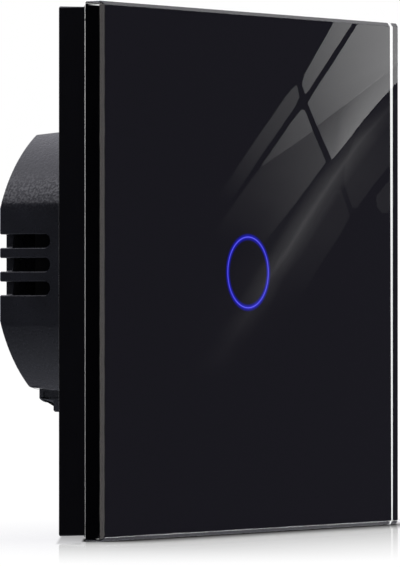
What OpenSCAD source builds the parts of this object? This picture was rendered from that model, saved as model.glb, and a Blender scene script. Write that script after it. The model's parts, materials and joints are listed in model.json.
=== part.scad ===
// Touch light switch for a wall box, in millimetres.
// The wall is the plane Y = 0. The glass faces -Y, the housing goes into the wall along +Y, and Z is up.
// The origin is the middle of the yoke's rear face, halfway between its two fixing slots.

/* [Glass panel] */
// Width and height of the glass
panel_w = 86; // [82:0.5:92]
// Thickness of the glass
glass_t = 4; // [3:0.1:6]
// Chamfer along the front and back edges of the glass
glass_chamfer = 0.6; // [0.3:0.05:1]
// Radius of the corners of the glass
glass_corner_r = 0.4; // [0.3:0.1:4]
// Distance from the wall to the back of the glass
glass_standoff = 5.2; // [5:0.1:7]
// Thickness of the black print on the back of the glass
print_t = 0.15; // [0.1:0.01:0.3]
// Distance from the rear chamfer to the edge of the print
print_margin = 0.1; // [0.05:0.05:0.5]
// Mean diameter of the lit ring
ring_d = 11.7; // [10:0.1:14]
// Width of the lit ring
ring_w = 0.5; // [0.3:0.05:1]

/* [Panel frame] */
// Distance from the edge of the glass to the frame, at the wall
frame_inset = 0.6; // [0.4:0.05:2]
// How much further in the frame is at the glass than at the wall
frame_draft = 0.25; // [0.05:0.05:0.4]
// Radius of the corners of the frame
frame_corner_r = 0.4; // [0.3:0.1:3]
// Thickness of the skirt of the frame
skirt_t = 1.8; // [1.2:0.1:3]
// Thickness of the rim that touches the print
rim_t = 1.4; // [1:0.1:2]
// Thickness of the web across the frame
web_t = 1.2; // [1:0.1:1.4]
// Radius of the opening in the web
web_opening_r = 27; // [24:0.5:29]
// Thickness of the tape that holds the glass
pad_t = 0.4; // [0.2:0.05:0.6]
// Width of the tape
pad_w = 7; // [4:0.5:9]
// Distance from the tape to the rim, and between strips
pad_margin = 1; // [0.5:0.1:2]
// Thickness of the clips that grip the carrier
clip_t = 1.5; // [1:0.1:2]
// Width of the clips
clip_w = 12; // [6:0.5:20]

/* [Yoke and carrier] */
// Width and height of the steel yoke
yoke_w = 71; // [70:0.5:74]
// Thickness of the steel yoke
yoke_t = 1; // [0.8:0.1:1.2]
// Radius of the corners of the yoke
yoke_corner_r = 4; // [2:0.5:8]
// Width of the step where the rim of the yoke rises over the housing
yoke_step = 1; // [0.8:0.1:1.2]
// Radius of the opening in the rim of the yoke
yoke_opening_r = 18; // [15:0.5:18.5]
// Width of the rim that stays round a screw hole beside the opening
screw_land = 0.4; // [0.2:0.05:0.5]
// Distance between the two fixing slots
slot_spacing = 60; // [59.5:0.1:61]
// Width of the fixing slots
slot_w = 4.2; // [3.6:0.1:5]
// Length of the fixing slots
slot_l = 7; // [6:0.1:7.4]
// Width and height of the carrier
carrier_w = 66; // [64:0.5:68]
// Radius of the corners of the carrier
carrier_corner_r = 3; // [1:0.5:6]
// Width of the windows in the carrier that show the fixing slots
access_w = 9; // [8:0.5:10]
// Height of those windows
access_h = 11; // [9:0.5:14]

/* [Housing] */
// Radius of the round housing
housing_r = 26.2; // [25.5:0.1:27]
// Distance between the two flat sides of the housing
housing_flats = 49; // [48:0.1:50]
// Height of the axis of the housing above the origin
housing_z = 1.25; // [0.5:0.05:2]
// Distance from the wall to the rear face of the housing
housing_depth = 25.8; // [25:0.1:32]
// Height of the top of the housing above the origin, at its rear face
housing_top = 23; // [22.5:0.1:24]
// Depth of the bottom of the housing below the origin, at its rear face
housing_drop = 19.1; // [18.5:0.1:20]
// Slope of the top of the housing
top_draft = 5; // [3:0.5:6]
// Slope of the bottom of the housing
bottom_draft = 6; // [3:0.5:7]
// Wall of the housing
housing_wall = 1.6; // [1.2:0.1:2]
// Radius of the rear edges of the housing
housing_edge_r = 0.5; // [0.3:0.1:1.5]
// Number of vent slots on each side
vent_count = 3; // [1:1:4]
// Height of a vent slot
vent_h = 2.2; // [1.5:0.1:3]
// Distance from one vent slot to the next
vent_pitch = 3.9; // [3.6:0.05:4.5]
// Length of a vent slot
vent_l = 10.5; // [6:0.5:12]
// Depth of a vent slot below the flat side
vent_cut = 1.9; // [1.8:0.1:2.2]

/* [Screws and boards] */
// Radius of the long housing screws
screw_r = 1.25; // [1:0.05:1.4]
// Radius of their heads
screw_head_r = 2.3; // [2:0.1:2.6]
// Height of their heads
screw_head_t = 1.3; // [1:0.1:1.4]
// How far the screws go into the bosses
screw_grip = 8; // [5:0.5:10]
// Radius of the bosses that take the screws
boss_r = 2.3; // [2.1:0.1:2.4]
// Sideways place of the two upper bosses
upper_boss_x = 16.5; // [16.3:0.1:17]
// Height of the two upper bosses above the axis of the housing
upper_boss_z = 11.2; // [11:0.1:12.5]
// Depth of the two lower bosses below the axis of the housing
lower_boss_z = 9.9; // [9.8:0.1:11.5]
// Radius of the spacers on the screws
spacer_r = 2; // [1.8:0.1:2.4]
// Thickness of the two circuit boards
board_t = 1.6; // [1:0.1:1.8]
// Distance from the wall to the touch board
touch_board_y = 1; // [0.8:0.1:1.5]
// Distance between the two boards
board_gap = 3.4; // [3:0.1:4]

/* [Light and touch] */
// Wall of the light guide
guide_wall = 1.1; // [0.8:0.1:1.6]
// Width of the flange of the light guide
guide_flange = 1.6; // [1:0.1:2.5]
// Length, width and height of a light
led_size = [1.6, 0.8, 0.6]; // [0.4:0.1:2]
// Number of lights
led_count = 4; // [2:1:8]
// Diameter of the touch spring, to the middle of its wire
touch_spring_d = 6.4; // [5:0.1:7]
// Diameter of the wire of the touch spring
touch_wire_d = 0.6; // [0.5:0.05:0.65]
// Number of curls in the touch spring
touch_curls = 4; // [2:1:4]

/* [Relay] */
// Length of the relay
relay_l = 19; // [18:0.1:20]
// Width of the relay
relay_w = 15.4; // [14:0.1:16]
// Thickness of the base of the relay
relay_base_t = 1.6; // [1:0.1:2]
// Wall of the relay case
relay_wall = 0.8; // [0.6:0.1:1]
// Gap between the relay case and the rear wall
relay_headroom = 1.6; // [0.8:0.1:2]
// Radius of the winding
winding_r = 4.4; // [3.5:0.1:4.6]
// Radius of the iron core
core_r = 2; // [1.5:0.1:2.4]
// Thickness of the yoke and the armature
iron_t = 1; // [0.8:0.1:1.1]
// Gap between the armature and the core
air_gap = 0.6; // [0.55:0.05:0.8]

/* [Supply] */
// Length of the film capacitor
film_l = 13; // [10:0.5:14]
// Width of the film capacitor
film_w = 6; // [4:0.5:7]
// Height of the film capacitor
film_h = 12; // [8:0.5:13]
// Radius of the electrolytic capacitor
electrolytic_r = 5; // [4:0.1:5.5]
// Height of the electrolytic capacitor
electrolytic_h = 13; // [10:0.5:13.5]
// Radius of the varistor
varistor_r = 4.5; // [3.5:0.1:5]
// Thickness of the varistor
varistor_t = 3.6; // [2.5:0.1:4]
// Radius of the choke
choke_r = 3.4; // [3:0.1:3.6]
// Height of the choke
choke_h = 9; // [6:0.5:12]
// Length of the fuse
fuse_l = 8; // [7:0.1:8.4]
// Width of the fuse
fuse_w = 4; // [3:0.1:4.4]
// Height of the fuse
fuse_h = 8; // [6:0.5:12]

/* [Terminals] */
// Distance from one terminal to the next
terminal_pitch = 9; // [8.8:0.1:9.4]
// Thickness of the two end walls of the terminal block
terminal_end_t = 1; // [0.8:0.1:1.2]
// Depth of the top of the terminal block below the origin
terminal_top = 10; // [9.6:0.1:10.4]
// Depth of the underside of the terminal block below the origin
terminal_bottom = 21.9; // [21.7:0.1:22.4]
// How far the wire sill stands out below that underside
terminal_sill = 1.3; // [0.8:0.1:1.6]
// How far the terminal block stops short of the rear face of the housing
terminal_recess = 0.6; // [0.5:0.1:1.5]
// How far the sill stops short of the rear of the terminal block
sill_setback = 3.1; // [2:0.1:4]
// Depth of the wells for the screw heads
well_depth = 4.3; // [3:0.1:5]
// Thickness of the shoulder below a screw head
shoulder_t = 1.3; // [1:0.1:1.6]
// Thickness of the floor of the terminal block
terminal_floor_t = 1.6; // [1.2:0.1:2]
// Radius of the terminal screws
terminal_screw_r = 1.5; // [1.25:0.05:1.6]
// Radius of the terminal screw heads
terminal_head_r = 2.6; // [2.2:0.1:2.8]
// Height of the terminal screw heads
terminal_head_t = 3.1; // [2.5:0.1:3.2]
// Radius of the wire entries
wire_r = 1.7; // [1.4:0.05:1.7]
// Travel of the clamp cages
clamp_travel = 2.5; // [2:0.1:2.5]
// Width of a clamp cage
cage_w = 6; // [5.4:0.1:6.2]
// Height of a clamp cage
cage_h = 6.2; // [5.8:0.1:6.3]
// Wall of a clamp cage
cage_wall = 1; // [0.8:0.1:1.1]
// Thickness of a terminal bar
bar_t = 0.8; // [0.6:0.1:1]
// Width of a terminal bar
bar_w = 3.4; // [2.8:0.1:3.6]

/* [Clearances] */
// Gap where the panel slides off the base
slide_gap = 0.3; // [0.2:0.05:0.4]
// Gap between pieces that are set into each other
seat_gap = 0.4; // [0.3:0.05:0.5]
// Gap round a screw
screw_gap = 0.15; // [0.1:0.05:0.2]
// Gap round a part that turns or slides inside the terminal block
run_gap = 0.2; // [0.15:0.01:0.25]

/* [Hidden] */
$fn = 48;
// Overlap of a cut past the face that it opens
past = 1;

// Layers of the front panel, along Y
y_glass_back = -glass_standoff;
y_glass_front = y_glass_back - glass_t;
y_print_back = y_glass_back + print_t;
y_web_front = y_print_back + pad_t;
y_web_rear = y_web_front + web_t;
y_carrier_front = y_web_rear + slide_gap;
frame_w = panel_w - 2 * frame_inset;
frame_front_w = frame_w - 2 * frame_draft;
recess_w = frame_front_w - 2 * rim_t;

// Layers of the base, along Y
y_rim_front = -2 * yoke_t;
y_rim_rear = -yoke_t;
y_touch_rear = touch_board_y + board_t;
y_power_front = y_touch_rear + board_gap;
y_power_rear = y_power_front + board_t;
y_housing_inside = housing_depth - housing_wall;

// Boss places, in X and Z, and the width of the terminal block that the lower ones stand beside
terminal_places = [-1, 0, 1];
terminal_names = ["left", "middle", "right"];
terminal_w = len(terminal_places) * terminal_pitch + 2 * terminal_end_t;
boss_clear = 0.2;
lower_boss_x = terminal_w / 2 + slide_gap + boss_r + boss_clear;
boss_places = [for (side = [-1, 1])
    each [[side * upper_boss_x, housing_z + upper_boss_z], [side * lower_boss_x, housing_z - lower_boss_z]]];

// Light guide, under the ring
guide_in_r = ring_d / 2 - guide_wall / 2;
guide_out_r = ring_d / 2 + guide_wall / 2;
guide_tip_gap = 0.2;
y_guide_rear = touch_board_y - led_size[2] - guide_tip_gap;

// Touch spring: a straight lead at each end and curls between
spring_lead = touch_wire_d;
spring_tip_gap = 0.2;
spring_start = touch_board_y;
spring_end = y_print_back + spring_tip_gap;
curl_rings = 8;
wire_sides = 6;
spring_pitch = (spring_start - spring_end - 2 * spring_lead) / touch_curls;

// Relay, on the power board, with its height from the room behind the board
relay_x = -9.5;
relay_z = 1.5;
relay_h = y_housing_inside - y_power_rear - relay_headroom;
coil_x = -1.8;
flange_t = 0.8;
flange_w = 0.5;
relay_gap = 0.2;
yoke_leg_x = coil_x - winding_r - flange_w - relay_gap - iron_t;
armature_top = relay_h - relay_wall - 2 * seat_gap;
armature_base = armature_top - iron_t;
pole_top = armature_base - air_gap;
pole_t = 0.6;
pole_r = core_r + 1;
flange_top = pole_top - pole_t;
iron_half_w = 4;
armature_end_x = 2.5;
leaf_t = 0.3;
contact_x = 6.5;
contact_r = 1.1;
contact_t = 0.9;
fixed_contact_t = 0.6;
contact_throw = 0.9;
pivot_x = yoke_leg_x + iron_t / 2;

// Places of the parts on the power board, in X and Z
film_place = [9, -3.8];
electrolytic_place = [9, 6.2];
varistor_place = [-7.6, 14];
choke_place = [1.2, 15.4];
fuse_place = [9.4, 16];
power_chip_place = [-9, 6];
rectifier_place = [10, 6];
touch_chip_place = [-9, -10];
connector_place = [0, -8];
lead_r = 0.35;
varistor_lift = 0.8;

// Length, width and height of the chips, and length and width of the plug strip
power_chip_size = [5, 4, 1.5];
rectifier_size = [4.7, 3.9, 2.2];
touch_chip_size = [9.9, 3.9, 1.5];
connector_size = [13, 2.5];
chip_leg = 0.4;
chip_lift = 0.1;
chip_leg_pitch = 1.27;

// Layers of a terminal, along Y
y_terminal_rear = housing_depth - terminal_recess;
y_well = y_terminal_rear - well_depth;
y_chamber_rear = y_well - shoulder_t;
y_chamber_front = y_power_rear + terminal_floor_t;
y_cage_front = y_chamber_front + run_gap;
y_cage_rear = y_chamber_rear - run_gap - clamp_travel;
cage_thread_t = 1.5;
y_bar_rear = y_cage_rear - cage_thread_t - 3 * run_gap;
y_bar_front = y_bar_rear - bar_t;
y_screw_tip = y_bar_rear + run_gap / 2;
y_head = y_well + run_gap / 4;
y_wire = (y_cage_front + cage_wall + y_bar_front) / 2;

// Heights of a terminal, along Z
chamber_wall = 1.2;
z_chamber_top = -terminal_top - chamber_wall;
z_bar = z_chamber_top - run_gap;
z_cage_top = z_bar - bar_t - 4 * run_gap;
z_cage_bottom = z_cage_top - cage_h;
z_chamber_bottom = z_cage_bottom - run_gap;
z_screw = (z_cage_top + z_cage_bottom) / 2;
nose_rise = 0.4;
block_edge_r = 0.5;
nose_r = 1;
sill_r = 0.5;
groove_w = 1.2;
groove_deep = 0.4;
groove_drop = 10.3;
groove_end = 1;
drive_w = 0.7;
drive_deep = 1.2;
small_drive_deep = 0.8;

// Geometry helpers

function unit(v) = v / norm(v);

// The arc of radius r that rounds corner b between the lines to a and to c
function fillet(a, b, c, r, steps = 4) =
    let (u = unit(a - b), v = unit(c - b), half = acos(u * v) / 2,
        middle = b + unit(u + v) * r / sin(half),
        first = b + u * r / tan(half) - middle, last = b + v * r / tan(half) - middle)
    [for (i = [0:steps]) middle + unit(first * (steps - i) + last * i) * r];

// An outline with its corners rounded, each by its own radius
function rounded(points, radii) =
    let (n = len(points))
    [for (i = [0:n - 1]) each radii[i] == 0 ? [points[i]]
        : fillet(points[(i + n - 1) % n], points[i], points[(i + 1) % n], radii[i])];

// An outline in X and Z, from y0 to y1
module along_y(y0, y1) {
    translate([0, y1, 0]) rotate([90, 0, 0]) linear_extrude(y1 - y0) children();
}

// An outline in Y and Z, from x0 to x1
module along_x(x0, x1) {
    translate([x0, 0, 0]) rotate([90, 0, 90]) linear_extrude(x1 - x0) children();
}

// An outline in X and Y, from z0 to z1
module along_z(z0, z1) {
    translate([0, 0, z0]) linear_extrude(z1 - z0) children();
}

// A box between two values on each axis
module box(x, y, z) {
    translate([x[0], y[0], z[0]]) cube([x[1] - x[0], y[1] - y[0], z[1] - z[0]]);
}

// A round bar along Y
module rod(x, z, y0, y1, r) {
    translate([x, y0, z]) rotate([-90, 0, 0]) cylinder(h = y1 - y0, r = r);
}

// A ring along Y about the ring's own axis, with the profile given as radius and Y
module lathe(points) {
    rotate([-90, 0, 0]) rotate_extrude() polygon(points);
}

module rounded_rect(w, h, r) {
    square([w - 2 * r, h], center = true);
    square([w, h - 2 * r], center = true);
    for (x = [-1, 1], z = [-1, 1]) translate([x * (w / 2 - r), z * (h / 2 - r)]) circle(r);
}

module at_places(places) {
    for (place = places) translate([place[0], 0, place[1]]) children();
}

// A chip that stands on the front face y of a board, with a row of legs along each long side
module chip(place, size, y) {
    legs = floor((size[0] - chip_leg) / chip_leg_pitch);
    translate([place[0], y, place[1]]) {
        box([-size[0] / 2, size[0] / 2], [-size[2], -chip_lift], [-size[1] / 2, size[1] / 2]);
        for (i = [0:legs - 1], side = [0, 1]) mirror([0, 0, side])
            translate([(i - (legs - 1) / 2) * chip_leg_pitch, 0, size[1] / 2])
                box([-chip_leg / 2, chip_leg / 2], [-size[2] / 2, 0], [-chip_leg, chip_leg]);
    }
}

// Front panel

// Section through a plate with both edges chamfered: across and Y
function plate_section(w, y0, y1, c) = [[-w / 2, y0 + c], [-w / 2, y1 - c], [-w / 2 + c, y1],
    [w / 2 - c, y1], [w / 2, y1 - c], [w / 2, y0 + c], [w / 2 - c, y0], [-w / 2 + c, y0]];

function swapped(points) = [for (p = points) [p[1], p[0]]];

module glass_panel() {
    section = plate_section(panel_w, y_glass_front, y_glass_back, glass_chamfer);
    color([0.1, 0.11, 0.13, 0.6]) intersection() {
        along_y(y_glass_front, y_glass_back) rounded_rect(panel_w, panel_w, glass_corner_r);
        along_z(-panel_w, panel_w) polygon(section);
        along_x(-panel_w, panel_w) polygon(swapped(section));
    }
}

module ring_outline() {
    difference() {
        circle(ring_d / 2 + ring_w / 2);
        circle(ring_d / 2 - ring_w / 2);
    }
}

module back_print() {
    print_w = panel_w - 2 * (glass_chamfer + print_margin);
    color([0.03, 0.03, 0.035]) along_y(y_glass_back, y_print_back) difference() {
        rounded_rect(print_w, print_w, glass_corner_r);
        ring_outline();
    }
}

module ring_window() {
    color([0.25, 0.25, 0.95]) along_y(y_glass_back, y_print_back) ring_outline();
}

module adhesive_pads() {
    long = recess_w - 2 * pad_margin;
    short = long - 2 * (pad_w + pad_margin);
    place = long / 2 - pad_w / 2;
    color([0.12, 0.12, 0.12]) along_y(y_print_back, y_web_front) for (side = [-1, 1]) {
        translate([0, side * place]) square([long, pad_w], center = true);
        translate([side * place, 0]) square([pad_w, short], center = true);
    }
}

module frame_clip() {
    near = carrier_w / 2 + slide_gap;
    box([near, near + clip_t], [y_web_front, -yoke_t - slide_gap], [-clip_w / 2, clip_w / 2]);
}

module panel_frame() {
    skirt_in_w = frame_w - 2 * skirt_t;
    section = [[-frame_front_w / 2, y_print_back], [frame_front_w / 2, y_print_back],
        [frame_w / 2, 0], [-frame_w / 2, 0]];
    color([0.07, 0.07, 0.075]) {
        difference() {
            intersection() {
                along_y(y_print_back, 0) rounded_rect(frame_w, frame_w, frame_corner_r);
                along_z(-panel_w, panel_w) polygon(section);
                along_x(-panel_w, panel_w) polygon(swapped(section));
            }
            along_y(y_print_back - past, y_web_front) square(recess_w, center = true);
            along_y(y_web_rear, past) square(skirt_in_w, center = true);
            along_y(y_web_front - past, y_web_rear + past) circle(web_opening_r);
        }
        for (turn = [0:90:270]) rotate([0, turn, 0]) frame_clip();
    }
}

// Base

// Height of the top and the bottom of the housing at a distance y from the wall
function housing_top_at(y) = housing_top + (housing_depth - y) * tan(top_draft);
function housing_bottom_at(y) = -housing_drop - (housing_depth - y) * tan(bottom_draft);

// The outline of the housing where it meets the wall, grown by some margin
module housing_outline(grow) {
    intersection() {
        translate([0, housing_z]) circle(housing_r + grow);
        translate([-housing_flats / 2 - grow, housing_bottom_at(0) - grow])
            square([housing_flats + 2 * grow, housing_top_at(0) - housing_bottom_at(0) + 2 * grow]);
    }
}

// The solid form of the housing from y0 to its rear face, drawn in by some inset, with rounded rear edges
module housing_form(y0, inset, edge_r) {
    r = housing_r - inset;
    half = housing_flats / 2 - inset;
    rear = housing_depth - inset;
    turned = rounded([[0, y0], [r, y0], [r, rear], [0, rear]], [0, 0, edge_r, 0]);
    plan = rounded([[-half, y0], [half, y0], [half, rear], [-half, rear]], [0, 0, edge_r, edge_r]);
    section = rounded([[y0, housing_top_at(y0) - inset], [rear, housing_top_at(rear) - inset],
        [rear, housing_bottom_at(rear) + inset], [y0, housing_bottom_at(y0) + inset]],
        [0, edge_r, edge_r, 0]);
    intersection() {
        translate([0, 0, housing_z]) lathe(turned);
        along_z(-panel_w, panel_w) polygon(plan);
        along_x(-panel_w, panel_w) polygon(section);
    }
}

module fixing_slot(w, l) {
    square([l - w, w], center = true);
    for (end = [-1, 1]) translate([end * (l - w) / 2, 0]) circle(w / 2);
}

module mounting_plate() {
    color([0.75, 0.76, 0.77]) difference() {
        union() {
            along_y(-yoke_t, 0) difference() {
                rounded_rect(yoke_w, yoke_w, yoke_corner_r);
                housing_outline(seat_gap);
            }
            along_y(y_rim_front, y_rim_rear) difference() {
                housing_outline(seat_gap + yoke_step);
                difference() {
                    translate([0, housing_z]) circle(yoke_opening_r);
                    for (place = boss_places) translate(place) circle(screw_r + screw_gap + screw_land);
                }
            }
        }
        at_places([for (side = [-1, 1]) [side * slot_spacing / 2, 0]])
            along_y(-yoke_t - past, past) fixing_slot(slot_w, slot_l);
        at_places(boss_places) rod(0, 0, y_rim_front - past, past, screw_r + screw_gap);
    }
}

module carrier() {
    color([0.09, 0.09, 0.095]) difference() {
        along_y(y_carrier_front, -yoke_t) rounded_rect(carrier_w, carrier_w, carrier_corner_r);
        along_y(y_rim_front, past) housing_outline(seat_gap + yoke_step + slide_gap);
        rod(0, 0, y_carrier_front - past, past, guide_out_r + screw_gap);
        at_places(boss_places) rod(0, 0, y_carrier_front - past, past, screw_r + screw_gap);
        for (side = [-1, 1])
            box([side * slot_spacing / 2 - access_w / 2, side * slot_spacing / 2 + access_w / 2],
                [y_carrier_front - past, past], [-access_h / 2, access_h / 2]);
    }
}

// A vent slot in the right side of the housing, open at the rear and round at the front.
// It goes through the flat side, or through the round wall where that is nearer to the axis.
module vent() {
    vents_half_h = (vent_count - 1) / 2 * vent_pitch + vent_h / 2;
    side_x = min(housing_flats / 2, sqrt(pow(housing_r, 2) - pow(vents_half_h, 2)));
    deep = side_x - vent_cut;
    front = housing_depth - vent_l + vent_h / 2;
    box([deep, housing_flats / 2 + past], [front, housing_depth + past], [-vent_h / 2, vent_h / 2]);
    translate([deep, front, 0]) rotate([0, 90, 0])
        cylinder(h = housing_flats / 2 + past - deep, d = vent_h);
}

module rear_housing() {
    color([0.08, 0.08, 0.085]) difference() {
        union() {
            difference() {
                housing_form(y_rim_rear, 0, housing_edge_r);
                housing_form(y_rim_rear - past, housing_wall, housing_edge_r / 2);
            }
            at_places(boss_places) rod(0, 0, y_power_rear, y_housing_inside + housing_wall / 2, boss_r);
        }
        at_places(boss_places) rod(0, 0, y_power_rear - past, y_power_rear + screw_grip + past, screw_r);
        for (side = [0, 1], i = [0:vent_count - 1]) mirror([side, 0, 0])
            translate([0, 0, housing_z + (i - (vent_count - 1) / 2) * vent_pitch]) vent();
        box([-terminal_w / 2 - slide_gap, terminal_w / 2 + slide_gap],
            [y_power_rear - slide_gap, housing_depth + past],
            [-terminal_bottom - 2 * panel_w, -terminal_top + slide_gap]);
    }
}

// A cross recess between two depths of a screw head
module cross_recess(reach, y0, y1) {
    for (turn = [0, 90]) rotate([0, turn, 0])
        box([-reach, reach], [y0, y1], [-drive_w / 2, drive_w / 2]);
}

module housing_screws() {
    tip = 1;
    y_end = y_power_rear + screw_grip;
    y_top = y_carrier_front - screw_head_t;
    edge = 0.4;
    color([0.7, 0.71, 0.72]) at_places(boss_places) difference() {
        lathe([[0, y_top], [screw_head_r - edge, y_top], [screw_head_r, y_top + edge],
            [screw_head_r, y_carrier_front], [screw_r, y_carrier_front], [screw_r, y_end - tip], [0, y_end]]);
        cross_recess(screw_head_r - 2 * edge, y_top - past, y_top + small_drive_deep);
    }
}

module spacers(y0, y1) {
    at_places(boss_places) difference() {
        rod(0, 0, y0, y1, spacer_r);
        rod(0, 0, y0 - past, y1 + past, screw_r + screw_gap);
    }
}

module front_spacers() {
    color([0.9, 0.9, 0.86]) spacers(y_rim_rear, touch_board_y);
}

module rear_spacers() {
    color([0.9, 0.9, 0.86]) spacers(y_touch_rear, y_power_front);
}

module light_guide() {
    y_tip = y_print_back + guide_tip_gap;
    flange_end = y_rim_front + yoke_t;
    flange_r = guide_out_r + guide_flange;
    color([0.85, 0.9, 0.95, 0.6]) lathe([[guide_in_r, y_tip], [guide_out_r, y_tip],
        [guide_out_r, y_rim_front], [flange_r, y_rim_front], [flange_r, flange_end],
        [guide_out_r, flange_end], [guide_out_r, y_guide_rear], [guide_in_r, y_guide_rear]]);
}

// Touch spring, as a tube along its curls

spring_steps = touch_curls * curl_rings;
spring_path = concat([[spring_start, 0]],
    [for (i = [0:spring_steps])
        [spring_start - spring_lead - spring_pitch * i / curl_rings, i * 360 / curl_rings]],
    [[spring_end, spring_steps * 360 / curl_rings]]);

function spring_out(angle) = [cos(angle), 0, sin(angle)];
function spring_point(i) = spring_out(spring_path[i][1]) * touch_spring_d / 2 + [0, spring_path[i][0], 0];
function spring_way(i) = i == 0 || i == len(spring_path) - 1 ? [0, -1, 0]
    : unit(spring_point(i + 1) - spring_point(i - 1));
function spring_ring(i) =
    let (out = spring_out(spring_path[i][1]), way = spring_way(i), side = unit(cross(way, out)),
        flat_out = cross(side, way))
    [for (k = [0:wire_sides - 1]) let (a = k * 360 / wire_sides)
        spring_point(i) + (flat_out * cos(a) + side * sin(a)) * touch_wire_d / 2];

// The least gap between curls, measured between points at least half a curl apart
spring_gap = min([for (i = [0:spring_steps + 2], j = [0:spring_steps + 2])
    if (j - i >= curl_rings / 2) norm(spring_point(i) - spring_point(j)) - touch_wire_d]);
echo(least_gap_of_touch_spring = spring_gap);  // touch_spring

module touch_spring() {
    rings = len(spring_path);
    points = [for (i = [0:rings - 1]) each spring_ring(i)];
    sides = [for (i = [0:rings - 2], k = [0:wire_sides - 1])
        let (a = i * wire_sides + k, b = i * wire_sides + (k + 1) % wire_sides)
        each [[a, b, a + wire_sides], [b, b + wire_sides, a + wire_sides]]];
    last = (rings - 1) * wire_sides;
    caps = [for (k = [1:wire_sides - 2]) each [[0, k + 1, k], [last, last + k, last + k + 1]]];
    color([0.8, 0.8, 0.78]) polyhedron(points, concat(sides, caps));
}

// Boards

module board(y0) {
    y1 = y0 + board_t;
    inset = housing_wall + seat_gap;
    top = housing_top_at(y1) - inset;
    bottom = housing_bottom_at(y1) + inset;
    half = housing_flats / 2 - inset;
    difference() {
        along_y(y0, y1) intersection() {
            translate([0, housing_z]) circle(housing_r - inset);
            translate([-half, bottom]) square([2 * half, top - bottom]);
        }
        at_places(boss_places) rod(0, 0, y0 - past, y1 + past, screw_r + screw_gap);
    }
}

module touch_board() {
    color([0.05, 0.3, 0.16]) board(touch_board_y);
}

module touch_chip() {
    color([0.1, 0.1, 0.1]) chip(touch_chip_place, touch_chip_size, touch_board_y);
}

module status_leds() {
    color([0.95, 0.95, 0.8]) for (i = [0:led_count - 1]) rotate([0, (i + 0.5) * 360 / led_count, 0])
        box([ring_d / 2 - led_size[1] / 2, ring_d / 2 + led_size[1] / 2],
            [touch_board_y - led_size[2], touch_board_y], [-led_size[0] / 2, led_size[0] / 2]);
}

module board_connector() {
    color([0.1, 0.1, 0.1]) translate([connector_place[0], 0, connector_place[1]])
        box([-connector_size[0] / 2, connector_size[0] / 2], [y_touch_rear, y_power_front],
            [-connector_size[1] / 2, connector_size[1] / 2]);
}

module power_board() {
    color([0.05, 0.3, 0.16]) difference() {
        board(y_power_front);
        for (i = terminal_places) bar_slot(i, y_power_front - past, y_power_rear + past);
    }
}

module power_chip() {
    color([0.1, 0.1, 0.1]) chip(power_chip_place, power_chip_size, y_power_front);
}

module rectifier() {
    color([0.1, 0.1, 0.1]) chip(rectifier_place, rectifier_size, y_power_front);
}

module film_capacitor() {
    color([0.85, 0.7, 0.2]) translate([film_place[0], y_power_rear, film_place[1]])
        box([-film_l / 2, film_l / 2], [0, film_h], [-film_w / 2, film_w / 2]);
}

module electrolytic_capacitor() {
    neck = 0.5;
    neck_y = 1.5;
    color([0.1, 0.1, 0.15]) translate([electrolytic_place[0], y_power_rear, electrolytic_place[1]])
        lathe([[0, 0], [electrolytic_r, 0], [electrolytic_r, neck_y], [electrolytic_r - neck, neck_y + neck],
            [electrolytic_r, neck_y + 2 * neck], [electrolytic_r, electrolytic_h - neck],
            [electrolytic_r - neck, electrolytic_h], [0, electrolytic_h]]);
}

module varistor() {
    lift = varistor_lift + varistor_r;
    color([0.1, 0.25, 0.6]) translate([varistor_place[0], y_power_rear, varistor_place[1]]) {
        translate([0, lift, 0]) cylinder(h = varistor_t, r = varistor_r, center = true);
        for (side = [-1, 1]) rod(side * varistor_r / 2, 0, 0, lift, lead_r);
    }
}

module choke() {
    rim = 1;
    waist = 0.5;
    color([0.15, 0.15, 0.16]) translate([choke_place[0], y_power_rear, choke_place[1]])
        lathe([[0, 0], [choke_r, 0], [choke_r, rim], [choke_r - waist, rim], [choke_r - waist, choke_h - rim],
            [choke_r, choke_h - rim], [choke_r, choke_h], [0, choke_h]]);
}

module fuse() {
    color([0.35, 0.2, 0.12]) translate([fuse_place[0], y_power_rear, fuse_place[1]])
        box([-fuse_l / 2, fuse_l / 2], [0, fuse_h], [-fuse_w / 2, fuse_w / 2]);
}

// Relay, each piece from the middle of its foot on the power board

module in_relay() {
    translate([relay_x, y_power_rear, relay_z]) children();
}

module relay_base() {
    color([0.12, 0.12, 0.13]) in_relay()
        box([-relay_l / 2, relay_l / 2], [0, relay_base_t], [-relay_w / 2, relay_w / 2]);
}

module relay_case() {
    color([0.1, 0.22, 0.5]) in_relay() difference() {
        box([-relay_l / 2, relay_l / 2], [relay_base_t, relay_h], [-relay_w / 2, relay_w / 2]);
        box([-relay_l / 2 + relay_wall, relay_l / 2 - relay_wall],
            [relay_base_t - past, relay_h - relay_wall],
            [-relay_w / 2 + relay_wall, relay_w / 2 - relay_wall]);
    }
}

// The foot of the yoke lies under the bobbin
foot_top = relay_base_t + iron_t;

module relay_bobbin() {
    flange_r = winding_r + flange_w;
    tube_r = core_r + flange_w;
    color([0.85, 0.84, 0.78]) in_relay() translate([coil_x, 0, 0])
        lathe([[core_r, foot_top], [flange_r, foot_top], [flange_r, foot_top + flange_t],
            [tube_r, foot_top + flange_t], [tube_r, flange_top - flange_t], [flange_r, flange_top - flange_t],
            [flange_r, flange_top], [core_r, flange_top]]);
}

module relay_winding() {
    tube_r = core_r + flange_w;
    color([0.6, 0.3, 0.12]) in_relay() translate([coil_x, 0, 0])
        lathe([[tube_r, foot_top + flange_t], [winding_r, foot_top + flange_t],
            [winding_r, flange_top - flange_t], [tube_r, flange_top - flange_t]]);
}

module relay_core() {
    color([0.6, 0.6, 0.6]) in_relay() translate([coil_x, 0, 0])
        lathe([[0, foot_top], [core_r, foot_top], [core_r, flange_top], [pole_r, flange_top],
            [pole_r, pole_top], [0, pole_top]]);
}

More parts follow.
